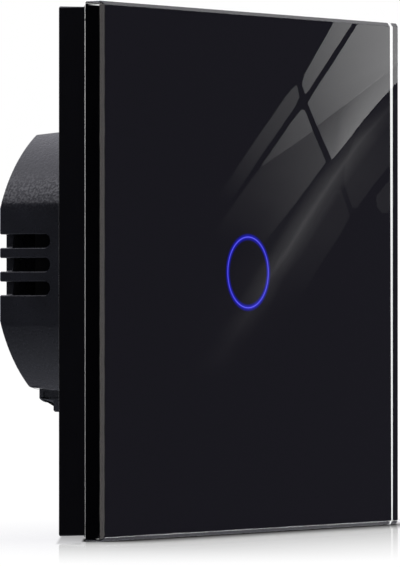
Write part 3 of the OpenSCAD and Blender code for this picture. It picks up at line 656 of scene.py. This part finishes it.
given = new_tree("wire_along", {"Wire radius": "Float", "Sides": "Int"})
path = given["Geometry"].node("GeometryNodeMeshToCurve", {"Mesh": given["Geometry"]})
profile = path.node("GeometryNodeCurvePrimitiveCircle",
                    {"Resolution": given["Sides"], "Radius": given["Wire radius"]})
wire = path.node("GeometryNodeCurveToMesh", {"Curve": path, "Profile Curve": profile, "Fill Caps": True})
WIRE_ALONG = close_tree(wire, given)
for tree in (TURNED_COPIES, PLACED_COPIES, WIRE_ALONG):
    print(tree.name, "takes", [item.name for item in tree.interface.items_tree if item.in_out == "INPUT"])

# %% [markdown]
# ## Points, paths and turned shapes
#
# A tree needs something to start from: points for its places, a line of edges for its path, or one
# shape to copy. A turned shape is a section spun round the Y axis, as on a lathe.

# %% Points, paths and turned shapes
TURN_STEPS = 48


def round_y(radius, turn, y):
    """A point at a distance from the Y axis, turned round it."""
    return Vector((radius * math.cos(turn), y, radius * math.sin(turn)))


def turned(section):
    """A closed section of (radius, y, 0, fillet) rows in mm, spun round the Y axis."""
    turns = [math.tau * i / TURN_STEPS for i in range(TURN_STEPS)]
    return loft([[round_y(radius, turn, y) * MM for turn in turns] for radius, y, _ in filleted(section)],
                closed=True)


def coil(radius, y_from, y_to, steps, turn_steps):
    """Points of a coil on the Y axis, so many to a turn."""
    return [round_y(radius, math.tau * i / turn_steps, y_from + (y_to - y_from) * i / steps)
            for i in range(steps + 1)]


def wire_on(points, radius, sides, slot):
    """A round wire along points. All is in mm."""
    path = bpy.data.meshes.new("path")
    path.from_pydata([point * MM for point in points], [(i, i + 1) for i in range(len(points) - 1)], [])
    return grown(WIRE_ALONG, path, {"Wire radius": radius * MM, "Sides": sides, "Material": FINISHES[slot]})


def copied_to(places, mesh, slot):
    """One mesh with a copy of a shape at each place of (x, z) in mm."""
    points = bpy.data.meshes.new("places")
    points.from_pydata([Vector((x, 0, z)) * MM for x, z in places], [], [])
    marks = shape_of(points, "places")
    copies = grown(PLACED_COPIES, mesh, {"Places": marks, "Material": FINISHES[slot]})
    bpy.data.objects.remove(marks)
    return copies


print("a turned shape has", TURN_STEPS, "sides")

# %% [markdown]
# ## The frame
#
# The frame is a square ring: a thin skirt that leans out towards the wall, and a web with a round
# opening behind the glass. Its section is one closed list, lofted from square to circle and back. Four
# clips hook round the carrier. They are one clip, turned round the axis by a tree.

# %% Frame
frame_low, frame_high = box_mm("panel_frame")
SKIRT_OUT = frame_high.x
FRAME_FRONT, FRAME_REAR = frame_low.y, frame_high.y
SKIRT_LEAN, SKIRT_T = 0.25, 1.8
SKIRT_IN = SKIRT_OUT - SKIRT_T
WEB_FRONT, WEB_REAR, WEB_OPEN = -4.65, -3.45, 27
RECESS_HALF = 40.75
OUT_MID, IN_MID = SKIRT_OUT - 0.4, SKIRT_IN - 0.5
frame_section = [(SKIRT_OUT - SKIRT_LEAN, FRAME_FRONT, OUT_MID, 0.12), (SKIRT_OUT, FRAME_REAR, OUT_MID, 0.15),
                 (SKIRT_IN, FRAME_REAR, IN_MID, 0.3), (SKIRT_IN, WEB_REAR, IN_MID, 0.3),
                 (WEB_OPEN, WEB_REAR, 0, 0.3), (WEB_OPEN, WEB_FRONT, 0, 0.3),
                 (RECESS_HALF, WEB_FRONT, IN_MID, 0.1), (RECESS_HALF, FRAME_FRONT, IN_MID, 0.1)]
skirt = loft([square_loop(*row) for row in filleted(frame_section)], closed=True)

CLIP_NEAR, CLIP_FAR, CLIP_END, CLIP_HALF = 33.3, 34.8, -1.3, 6.0
CLIP_ROOT = WEB_FRONT + 0.4
HOOK_OUT, HOOK_DEEP = 0.6, 0.8
clip_section = [(CLIP_NEAR, CLIP_ROOT, 0, 0), (CLIP_FAR, CLIP_ROOT, 0, 0), (CLIP_FAR, CLIP_END, 0, 0.4),
                (CLIP_NEAR + HOOK_OUT, CLIP_END, 0, 0.2), (CLIP_NEAR, CLIP_END - HOOK_DEEP, 0, 0.3)]
clip = loft([[Vector((x, y, z)) * MM for x, y, _ in filleted(clip_section)]
             for z in (-CLIP_HALF, CLIP_HALF)], closed=False)
clips = grown(TURNED_COPIES, clip, {"Count": 4, "Material": FINISHES["frame_plastic"]})
keep("panel_frame", joined(skirt, clips))

# %% [markdown]
# ## Pieces that keep their shape
#
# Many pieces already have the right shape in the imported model, but every edge there is sharp, and no
# real edge is. A copy of such a mesh is merged, its flat faces are joined again, and a Bevel modifier
# rounds the edges that turn by more than a third of a right angle. The width follows how the piece is
# made: a moulded edge is rounder than a stamped one. On a shell with thin inner edges only those that
# show are rounded: a ray that leaves such an edge between its two faces meets nothing.

# %% Round the edges
BEVEL_ABOVE, FLAT_BELOW = math.radians(32), math.radians(0.5)
CAD_POINT = 1e-6
OFF_EDGE = 0.02 * MM


def mark_shown(bm):
    """Gives the sharp edges that show from outside a bevel weight of 1."""
    solid = BVHTree.FromBMesh(bm)
    weights = bm.edges.layers.float.new("bevel_weight_edge")
    for edge in bm.edges:
        if edge.is_manifold and edge.calc_face_angle() > BEVEL_ABOVE:
            out = (edge.link_faces[0].normal + edge.link_faces[1].normal).normalized()
            middle = (edge.verts[0].co + edge.verts[1].co) / 2
            edge[weights] = float(solid.ray_cast(middle + out * OFF_EDGE, out)[0] is None)


def merged(mesh):
    bm = bmesh.new()
    bm.from_mesh(mesh)
    bmesh.ops.remove_doubles(bm, verts=bm.verts, dist=CAD_POINT)
    return bm


def softened(node, width_mm, segments=2, shown_only=False, mesh=None):
    """Keeps a node's own mesh, or another, with round edges."""
    bm = merged(mesh or frame["nodes"][node].data)
    bmesh.ops.dissolve_limit(bm, angle_limit=FLAT_BELOW, verts=bm.verts, edges=bm.edges)
    if shown_only:
        mark_shown(bm)
    shape = shape_of(mesh_of(bm), node + "_sharp")
    bevel = shape.modifiers.new("round edges", "BEVEL")
    bevel.width = width_mm * MM
    bevel.segments = segments
    bevel.limit_method = "WEIGHT" if shown_only else "ANGLE"
    bevel.angle_limit = BEVEL_ABOVE
    bevel.use_clamp_overlap = not shown_only
    keep(node, baked(shape))


softened("rear_housing", 0.28, 3, shown_only=True)
softened("carrier", 0.25)
softened("mounting_plate", 0.12)
softened("light_guide", 0.15)
softened("adhesive_pads", 0.1)

# %% [markdown]
# ## The terminal block
#
# The block hangs below the housing, and its lower side edges are cut off at a slant, which catches the
# light of the table. A wide bevel breaks where the sill begins, so a wedge on each side cuts the edge
# off with a Boolean modifier, and a fine bevel follows.

# %% Terminal block
block_low, block_high = box_mm("terminal_block")
SILL_H, SILL_BACK, NOSE_RISE = 1.3, 3.1, 0.4
SLANT, PAST, NOTCH = 0.7, 1.0, 0.05


def without(mesh, cutter, crossed=False):
    """A mesh with another one taken away, whose own solids may have crossed."""
    shape, blade = shape_of(mesh, "whole"), shape_of(cutter, "blade")
    cut = shape.modifiers.new("cut", "BOOLEAN")
    cut.operation, cut.solver, cut.use_self, cut.object = "DIFFERENCE", "EXACT", crossed, blade
    rest = baked(shape)
    bpy.data.objects.remove(blade)
    return rest


wedges = bmesh.new()
for side in (-1, 1):
    corners = []
    for back in (-NOTCH, SILL_BACK + PAST):
        z = block_low.z + SILL_H + back * NOSE_RISE / SILL_BACK
        for out, up in ((PAST, SLANT + PAST), (-SLANT - PAST, -PAST), (PAST, -PAST)):
            at = Vector((side * (block_high.x + out), block_high.y - SILL_BACK + back, z + up))
            corners.append(wedges.verts.new(at * MM))
    bmesh.ops.convex_hull(wedges, input=corners)
block = mesh_of(merged(frame["nodes"]["terminal_block"].data))
softened("terminal_block", 0.12, shown_only=True, mesh=without(block, mesh_of(wedges)))

# %% [markdown]
# ## Boards and what stands on them
#
# Boards, chips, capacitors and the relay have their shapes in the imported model, and are out of sight in
# most views, so a round edge is enough: the finest on cut parts, the widest on dipped and sleeved ones.

# %% Boards and what stands on them
for node in ("touch_board", "power_board", "touch_chip", "power_chip", "rectifier", "terminal_bars"):
    softened(node, 0.08)
for node in ("board_connector", "choke", "relay_base", "relay_bobbin", "relay_core", "relay_yoke",
             "relay_armature", "relay_fixed_contact", "relay_moving_contact"):
    softened(node, 0.12)
for node in ("film_capacitor", "electrolytic_capacitor", "varistor", "fuse", "relay_case"):
    softened(node, 0.4, 3)
TERMINALS = ("left", "middle", "right")
for side in TERMINALS:
    softened("terminal_cage_" + side, 0.25)

# %% [markdown]
# ## Screws
#
# A screw is a turned shape with a cross cut into its head and a thread along its shank. The cut is two
# crossed blades taken away by a Boolean modifier. The thread is a thin wire wound round the shank, made
# by the tree that follows a path, because a stack of rings would not climb.

# %% Screws
THREAD_R, THREAD_PITCH, THREAD_STEPS = 0.16, 0.7, 20
HEAD_ROUND, HEAD_EDGE, POINT_R = 0.3, 0.1, 0.3
BLADE_REACH, BLADE_TAPER = 0.62, 0.7
THREAD_GAP, THREAD_STOP = 0.6, 1.2


def cross(y_top, into, reach, wide, deep):
    """Two crossed blades that narrow into the head."""
    blades = []
    for across, along in ((reach, wide / 2), (wide / 2, reach)):
        blades.append(loft([[Vector((x * across * size, y, z * along * size)) * MM for x, z in CORNERS]
                            for size, y in ((1, y_top - into * deep), (BLADE_TAPER, y_top + into * deep))],
                           closed=False))
    return joined(*blades)


def screw(slot, y_top, into, head_r, head_t, shank_r, length, blade_w, blade_deep):
    """A screw on the Y axis with its head's top at y_top. It goes along Y where into is 1, back where -1."""
    root_r = shank_r - THREAD_R
    y_head, y_end = y_top + into * head_t, y_top + into * length
    section = [(0, y_top, 0, 0), (head_r, y_top, 0, HEAD_ROUND * head_t), (head_r, y_head, 0, HEAD_EDGE),
               (root_r, y_head, 0, 0), (root_r, y_end - into * root_r, 0, 0.2),
               (POINT_R, y_end, 0, 0), (0, y_end, 0, 0)]
    blades = cross(y_top, into, BLADE_REACH * head_r, blade_w, blade_deep)
    plain = without(turned(section), blades, crossed=True)
    y_from, y_to = y_head + into * THREAD_GAP, y_end - into * THREAD_STOP * root_r
    steps = int(abs(y_to - y_from) / THREAD_PITCH * THREAD_STEPS)
    thread = wire_on(coil(root_r, y_from, y_to, steps, THREAD_STEPS), THREAD_R, 6, slot)
    return joined(plain, thread)


screw_low, screw_high = box_mm("housing_screws")
SCREW_PLACES = ((16.5, 12.45), (-16.5, 12.45), (17.3, -8.65), (-17.3, -8.65))
long_screw = screw("screw_steel", screw_low.y, 1, head_r=2.3, head_t=1.3, shank_r=1.25,
                   length=screw_high.y - screw_low.y, blade_w=0.7, blade_deep=0.8)
keep("housing_screws", copied_to(SCREW_PLACES, long_screw, "screw_steel"))

for side in TERMINALS:
    low, high = box_mm("terminal_screw_" + side)
    middle = (low + high) / 2
    clamp = screw("terminal_steel", high.y, -1, head_r=high.x - middle.x, head_t=3.1, shank_r=1.5,
                  length=high.y - low.y, blade_w=0.8, blade_deep=1.6)
    keep("terminal_screw_" + side, copied_to([(middle.x, middle.z)], clamp, "terminal_steel"))

# %% [markdown]
# ## Spacers and lamps
#
# Tubes on the long screws hold the boards apart: one turned tube, copied to four places. The four
# lamps under the light guide are one lamp with a domed lens, turned round the axis.

# %% Spacers and lamps
SPACER_R, SPACER_BORE = 2.0, 1.4
for node in ("front_spacers", "rear_spacers"):
    low, high = box_mm(node)
    tube = turned([(SPACER_BORE, low.y, 0, 0.1), (SPACER_R, low.y, 0, 0.2), (SPACER_R, high.y, 0, 0.2),
                   (SPACER_BORE, high.y, 0, 0.1)])
    keep(node, copied_to(SCREW_PLACES, tube, SLOT_OF[node]))

LED_MID, LED_LONG, LED_WIDE, LED_STEPS = 5.85, 1.6, 0.8, 6
LED_BASE, LENS_INSET, LENS_ROUND = 0.25, 0.12, 0.25
led_low, led_high = box_mm("status_leds")


def led_row(y, drawn):
    """A rectangle round a lamp's middle, drawn in from its outline."""
    return [Vector((LED_MID + x * (LED_WIDE / 2 - drawn), y, z * (LED_LONG / 2 - drawn))) * MM
            for x, z in CORNERS]


base_rows, lens_rows = [], []
lens_foot = led_high.y - LED_BASE
for rise in (step / LED_STEPS for step in range(LED_STEPS + 1)):
    base_rows.append(led_row(led_high.y - LED_BASE * rise, 0))
    lens_rows.append(led_row(lens_foot + (led_low.y - lens_foot) * math.sin(rise * math.pi / 2),
                             LENS_INSET + LENS_ROUND * (1 - math.cos(rise * math.pi / 2))))
lamp = joined(loft(base_rows, closed=False), loft(lens_rows, closed=False))
keep("status_leds", grown(TURNED_COPIES, lamp,
                          {"Count": 4, "Start": math.radians(45), "Material": FINISHES["led_lens"]}))

# %% [markdown]
# ## The touch spring and the relay's winding
#
# A soft coil spring stands on the sensor board and presses on the back of the glass. Its path is worked
# out point by point: a straight end, the curls, and a straight end again, with the corners eased. The
# tree runs a wire along it. The winding is the same thing, with its curls side by side on a plain core.

# %% Spring and winding
CURL_STEPS, EASE_TIMES = 24, 2


def eased(points):
    """A path with its corners cut, so that a wire bends round them."""
    for _ in range(EASE_TIMES):
        cut = [points[0]]
        for a, b in zip(points, points[1:]):
            cut += [a.lerp(b, 0.25), a.lerp(b, 0.75)]
        points = cut + [points[-1]]
    return points


spring_low, spring_high = box_mm("touch_spring")
SPRING_WIRE_R, SPRING_LEAD, SPRING_CURLS = 0.3, 0.6, 4
spring_coil = coil(spring_high.x - SPRING_WIRE_R, spring_high.y - SPRING_LEAD, spring_low.y + SPRING_LEAD,
                   SPRING_CURLS * CURL_STEPS, CURL_STEPS)
foot = Vector((spring_coil[0].x, spring_high.y, spring_coil[0].z))
head = Vector((spring_coil[-1].x, spring_low.y, spring_coil[-1].z))
keep("touch_spring", wire_on(eased([foot, *spring_coil, head]), SPRING_WIRE_R, 10, "spring_wire"))

winding_low, winding_high = box_mm("relay_winding")
winding_mid = (winding_low + winding_high) / 2
WOUND_WIRE_R, CORE_R = 0.175, 2.3
wound_r = (winding_high.x - winding_low.x) / 2 - WOUND_WIRE_R
wound_from, wound_to = winding_low.y + WOUND_WIRE_R, winding_high.y - WOUND_WIRE_R
wound_steps = round((wound_to - wound_from) / (2 * WOUND_WIRE_R) * CURL_STEPS)
wire = wire_on(coil(wound_r, wound_from, wound_to, wound_steps, CURL_STEPS), WOUND_WIRE_R, 6, "copper_wire")
core = turned([(CORE_R, winding_low.y, 0, 0), (wound_r, winding_low.y, 0, 0),
               (wound_r, winding_high.y, 0, 0), (CORE_R, winding_high.y, 0, 0)])
keep("relay_winding", copied_to([(winding_mid.x, winding_mid.z)], joined(wire, core), "copper_wire"))

# %% [markdown]
# ## The studio
#
# The switch stands on a white table in front of a white wall. The camera, and whatever looks through
# glass, sees white all round. What gleams sees a room: dark to the left, dim on the right, with soft
# patches of light that fade round a direction each. The small bright one low on the right makes the
# lower edge of the glass gleam in a thin line. Soft light from all round does the rest. Real walls and
# lamps would do the same, but would stand in the way of other views.

# %% World
AMBIENT = 0.78
ROOM_DARK, ROOM_DIM = 0.012, 0.135
DIM_SIDE, DIM_FROM, DIM_FULL = (1, -0.2, 0), -0.2, 0.6
COOL, WARM, PALE = (0.98, 0.94, 1.3), (1.04, 0.98, 0.97), (0.96, 0.99, 1.12)
WHITE = (1, 1, 1, 1)
PATCHES = {
    "where the picture is taken from": ((-0.58, -0.815, 0), 0.75, 0.95, shade(1.5, WARM)),
    "bright and low on the right": ((0.82, -0.37, -0.44), 0.95, 0.98, shade(7)),
    "table": ((0, 0, -1), 0.45, 0.95, shade(0.45, PALE)),
    "high on the right": ((0.84, -0.2, 0.5), 0.88, 0.97, shade(0.6)),
    "white wall behind": (AHEAD, 0.6, 0.85, shade(1 - ROOM_DIM)),
}


def is_ray(tree, kind):
    return tree.node("ShaderNodeLightPath", output=f"Is {kind} Ray")


def seen_by_eye(tree):
    """1 for what the camera sees, straight or through glass."""
    return is_ray(tree, "Camera").math("MAXIMUM", is_ray(tree, "Transmission"))


scene.world = bpy.data.worlds.new("studio")
sky = emptied(scene.world)
way = sky.node("ShaderNodeTexCoord", output="Generated")
dim = way.along(Vector(DIM_SIDE).normalized()).step(DIM_FROM, DIM_FULL)
room = dim.blend(shade(ROOM_DARK, COOL), shade(ROOM_DIM, COOL))
for side, begins, full, light in PATCHES.values():
    room = room.plus(way.along(Vector(side).normalized()).step(begins, full).blend(BLACK, light))
lit = is_ray(sky, "Glossy").blend(shade(AMBIENT), room)
light = sky.node("ShaderNodeBackground", {"Color": seen_by_eye(sky).blend(lit, WHITE)})
sky.node("ShaderNodeOutputWorld", {"Surface": light})
print("soft light of", AMBIENT, "and a room with", len(PATCHES), "patches")

# %% [markdown]
# ## The table and the lamp
#
# The table is a pale plane that mirrors the foot of the glass, less and less farther out. Where the glass
# stands, a painted contact shadow darkens it, and under the frame painted shade makes it grey. Painted at
# fixed places, both would stay behind when the panel is pulled, so an Ambient Occlusion node says how
# much stands over each point.
# A long soft lamp high up behind the switch gives the housing's top its sheen.

# %% Floor
FLOOR_HALF, FLOOR_GAP = 6.0, 0.05 * MM
FLOOR_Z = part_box("glass_panel")[0].z - FLOOR_GAP
FLOOR_GLOW, FLOOR_MATT, FLOOR_CLOUD_MM = 0.9, 0.15, 40.0
SHEEN, SHEEN_REACH, SHEEN_FALL, SHEEN_ROUGH = 0.52, 88 * MM, 1.5, 0.05
paint = start("floor")
at, seen = spot(paint), seen_by_eye(paint)
x, y, across = at.axis("X"), at.axis("Y"), at.along(RIGHT)
cloud = mottle(paint, FLOOR_CLOUD_MM).blend(shade(0.9), shade(0.92))
matt = paint.node("ShaderNodeBsdfDiffuse", {"Color": seen.blend(cloud, shade(FLOOR_MATT))})
glow = paint.node("ShaderNodeEmission", {"Color": seen.blend(BLACK, shade(FLOOR_GLOW))})
pale = paint.node("ShaderNodeAddShader", {0: matt, 1: glow})
sheen = paint.node("ShaderNodeBsdfGlossy", {"Roughness": SHEEN_ROUGH})
beside = (x.math("ABSOLUTE") - GLASS_HALF * MM).math("MAXIMUM", 0)
ahead = (GLASS_FRONT * MM - y).math("MAXIMUM", y).math("MAXIMUM", 0)
away = (beside * beside + ahead * ahead).math("SQRT")
near = (1 - away * (1 / SHEEN_REACH)).math("MAXIMUM", 0).math("POWER", SHEEN_FALL)
table = paint.node("ShaderNodeMixShader", {"Fac": seen * near * SHEEN, 1: pale, 2: sheen})
print("the table mirrors up to", round(SHEEN_REACH / MM), "mm from the glass")

# %% Painted shadow under the panel
CONTACT_SHADOW_REACH, CONTACT_SHADOW_DEEP = 12 * MM, 2
FRAME_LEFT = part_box("panel_frame")[0].x
GAP_REACH, GAP_SOFT, GAP_SHADE, GAP_DEEPER = 15 * MM, 0.1, 0.36, 0.2
GAP_EDGE = FRAME_LEFT - GAP_REACH * 0.6
FRAME_SEEN = Vector((FRAME_LEFT, 0, 0)).dot(RIGHT)
GLASS_SEEN = Vector((-GLASS_HALF * MM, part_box("glass_panel")[1].y, 0)).dot(RIGHT)
EDGE_SOFT = 0.3 * MM


def covered(paint, reach):
    """How much stands over a point of the table within reach."""
    return 1 - paint.node("ShaderNodeAmbientOcclusion", {"Distance": reach}, "AO")


on_glass = across.step(GLASS_SEEN - EDGE_SOFT, GLASS_SEEN + EDGE_SOFT)
on_frame = across.step(FRAME_SEEN - EDGE_SOFT, FRAME_SEEN + EDGE_SOFT) * (1 - on_glass)
# painted contact shadow on the table at the foot of the glass, as deep as the table is covered
painted_contact_shadow = on_glass * (covered(paint, CONTACT_SHADOW_REACH) * CONTACT_SHADOW_DEEP).math("MINIMUM", 1)
# painted shade on the table under the frame, darker farther in and only where something stands over it
under = x.step(FRAME_LEFT - GAP_REACH, GAP_EDGE) * (1 - y.step(GAP_REACH, GAP_REACH * 2))
shaded = GAP_SHADE + x.step(GAP_EDGE, FRAME_LEFT + GAP_REACH) * GAP_DEEPER
gap = on_frame * under * covered(paint, GAP_REACH).step(0, GAP_SOFT) * shaded
# the black that the painted shadow and the painted shade mix into the table
dark = paint.node("ShaderNodeBsdfDiffuse", {"Color": BLACK})
end(paint, paint.node("ShaderNodeMixShader", {"Fac": seen * (painted_contact_shadow + gap), 1: table, 2: dark}))

floor_mesh = bpy.data.meshes.new("floor")
floor_mesh.from_pydata([(x * FLOOR_HALF, y * FLOOR_HALF, FLOOR_Z) for x, y in CORNERS], [], [(0, 1, 2, 3)])
floor_mesh.materials.append(FINISHES["floor"])
floor = shape_of(floor_mesh, "floor")
floor.visible_glossy = False
print("floor at", round(FLOOR_Z / MM, 2), "mm")

# %% Lamp
LAMP_AT, LAMP_TO = Vector((-0.02, 0.4, 0.5)), Vector((0, 0.01, 0))
LAMP_SIZE, LAMP_WATTS, LAMP_TINT = (0.75, 0.4), 1.5, (0.92, 0.91, 1.0)
lamp_light = bpy.data.lights.new("lamp", "AREA")
lamp_light.shape = "RECTANGLE"
lamp_light.size, lamp_light.size_y = LAMP_SIZE
lamp_light.energy, lamp_light.color = LAMP_WATTS, LAMP_TINT
lamp_shape = shape_of(lamp_light, "lamp")
lamp_shape.location = LAMP_AT
lamp_shape.rotation_euler = (LAMP_TO - LAMP_AT).to_track_quat("-Z", "Y").to_euler()
print("lamp of", LAMP_WATTS, "W")

# %% [markdown]
# ## The window in the glass
#
# The glass mirrors a window and a curtain's pale edge on its upper right. A picture of a window would do
# it, but a few glowing panes are enough. Each pane is a strip between two rails: where it shows in the
# picture, and how bright. A ray through such a point is turned round at the glass and followed to a card
# in the room, where the pane is drawn. Each strip has its own card, one behind the other, so that strips
# add up where they overlap. Only what gleams sees the cards, so they light nothing.

# %% Window
CARD_AWAY, CARD_GAP = 1.2, 0.01
CARD_FACING = Vector((AHEAD.x, -AHEAD.y, 0))
PANES = {
    "upper strip, left of the bar": (
        ((335, 20, 1.45), (354, 21, 1.75)), ((304, 75, 0.9), (315.5, 80, 1.08)),
        ((302, 85, 0.87), (309, 90, 0.95)), ((305, 93.5, 0.9), (306, 93.5, 0.9))),
    "upper pane": (
        ((360, 20, 1.9), (400, 20, 2.3)), ((335, 60, 1.45), (400, 32, 2.4)),
        ((312, 95, 1.0), (400, 50, 2.45)), ((307.5, 103, 0.9), (400, 56, 2.5)),
        ((317, 126, 0.9), (400, 63, 2.4))),
    "upper pane, darker half": (
        ((400, 63, 2.1), (400, 79, 2.2)), ((378, 79.5, 1.75), (378, 103, 2.1)),
        ((360, 93, 1.35), (362, 122, 2.0)), ((340, 108.4, 0.75), (346, 143, 1.75)),
        ((317, 126, 0.5), (332, 160, 1.2))),
    "lower strip, left of the bar": (
        ((295.5, 85.5, 0.5), (297, 85.5, 0.5)), ((290, 91, 0.48), (299.5, 97, 0.5)),
        ((281, 103, 0.42), (295, 107, 0.46)), ((250, 148, 0.2), (263, 153, 0.24)),
        ((232, 175, 0.06), (245, 180, 0.1)), ((215, 200, 0), (229, 204, 0))),
    "lower pane": (
        ((301, 110, 0.85), (305, 110, 0.85)), ((292, 121, 0.7), (313, 131, 0.85)),
        ((277, 143, 0.5), (290, 147, 0.65)), ((261, 165.5, 0.36), (262, 166, 0.36))),
    "lower pane, darker half": (
        ((262, 166, 0.15), (313, 131, 0.42)), ((252, 178, 0.12), (326, 162, 0.46)),
        ((240, 195, 0.08), (299, 199, 0.26)), ((228, 212, 0.05), (276, 228, 0.1)),
        ((212, 236, 0), (256, 252, 0))),
    "faint pane beyond the streak": (
        ((364, 120, 0), (394, 115, 0)), ((352, 145, 0.07), (394, 145, 0.07)),
        ((345, 165, 0.09), (390, 165, 0.09)), ((344, 183, 0.09), (375, 183, 0.1)),
        ((352, 207, 0.09), (357, 208, 0.09))),
    "faint pane below it": (
        ((335, 190, 0.04), (341, 190, 0.08)), ((320, 215, 0.04), (350, 216, 0.08)),
        ((310, 235, 0.04), (340, 235, 0.08)), ((295, 262, 0.02), (322, 262, 0.04)),
        ((280, 290, 0), (305, 290, 0.02))),
    "small pane at the edge": (
        ((388, 182, 0.1), (394, 178, 0.1)), ((376, 196, 0.11), (394, 196, 0.1)),
        ((377, 207, 0.11), (394, 207, 0.1)), ((382, 213, 0.09), (387, 213, 0.09))),
}
STREAK = ((396, 100, 0.08), (377, 122, 0.2), (361, 140, 0.35), (332, 180, 0.5), (306, 220, 0.54),
          (288, 250, 0.48), (267, 280, 0.31), (251, 310, 0.14), (231, 340, 0.05), (206, 378, 0))
STREAK_SPREAD = ((45, 0.13), (18, 0.7), (4, 0.25))
print(len(PANES), "panes and a streak")

# %% Cards that show it


def on_card(px, py, away):
    """Where the ray through a point of the picture meets a card, after the glass turns it round."""
    ray = AHEAD + RIGHT * ((px - PHOTO_W / 2) / FOCAL_PX) + UP * ((HORIZON_PX - py) / FOCAL_PX)
    hit = CAMERA_AT + ray * ((GLASS_FRONT * MM - CAMERA_AT.y) / ray.y)
    back = Vector((ray.x, -ray.y, ray.z))
    return hit + back * ((away - hit.dot(CARD_FACING)) / back.dot(CARD_FACING))


paint = start("window")
FINISHES["window"].cycles.emission_sampling = "NONE"
glow = paint.node("ShaderNodeAttribute", None, "Color", attribute_name="glow")
pane = paint.node("ShaderNodeEmission", {"Color": glow})
end(paint, paint.node("ShaderNodeAddShader", {0: pane, 1: paint.node("ShaderNodeBsdfTransparent")}))

card_points, card_glow, card_faces = [], [], []
sides = [[((x, y, glow * share), (x + side * reach, y, 0)) for x, y, glow in STREAK]
         for reach, share in STREAK_SPREAD for side in (-1, 1)]
for layer, strip in enumerate((*PANES.values(), *sides)):
    for i, row in enumerate(strip):
        card_points += [on_card(x, y, CARD_AWAY + layer * CARD_GAP) for x, y, _ in row]
        card_glow += [glow for _, _, glow in row]
        last = len(card_points) - 1
        if i:
            card_faces.append((last - 3, last - 2, last, last - 1))
card_mesh = bpy.data.meshes.new("window")
card_mesh.from_pydata(card_points, [], card_faces)
card_mesh.attributes.new("glow", "FLOAT", "POINT").data.foreach_set("value", card_glow)
card_mesh.materials.append(FINISHES["window"])
card = shape_of(card_mesh, "window")
card.visible_camera = card.visible_diffuse = card.visible_transmission = card.visible_shadow = False
print("window of", len(card_faces), "strips,", CARD_AWAY, "m away")
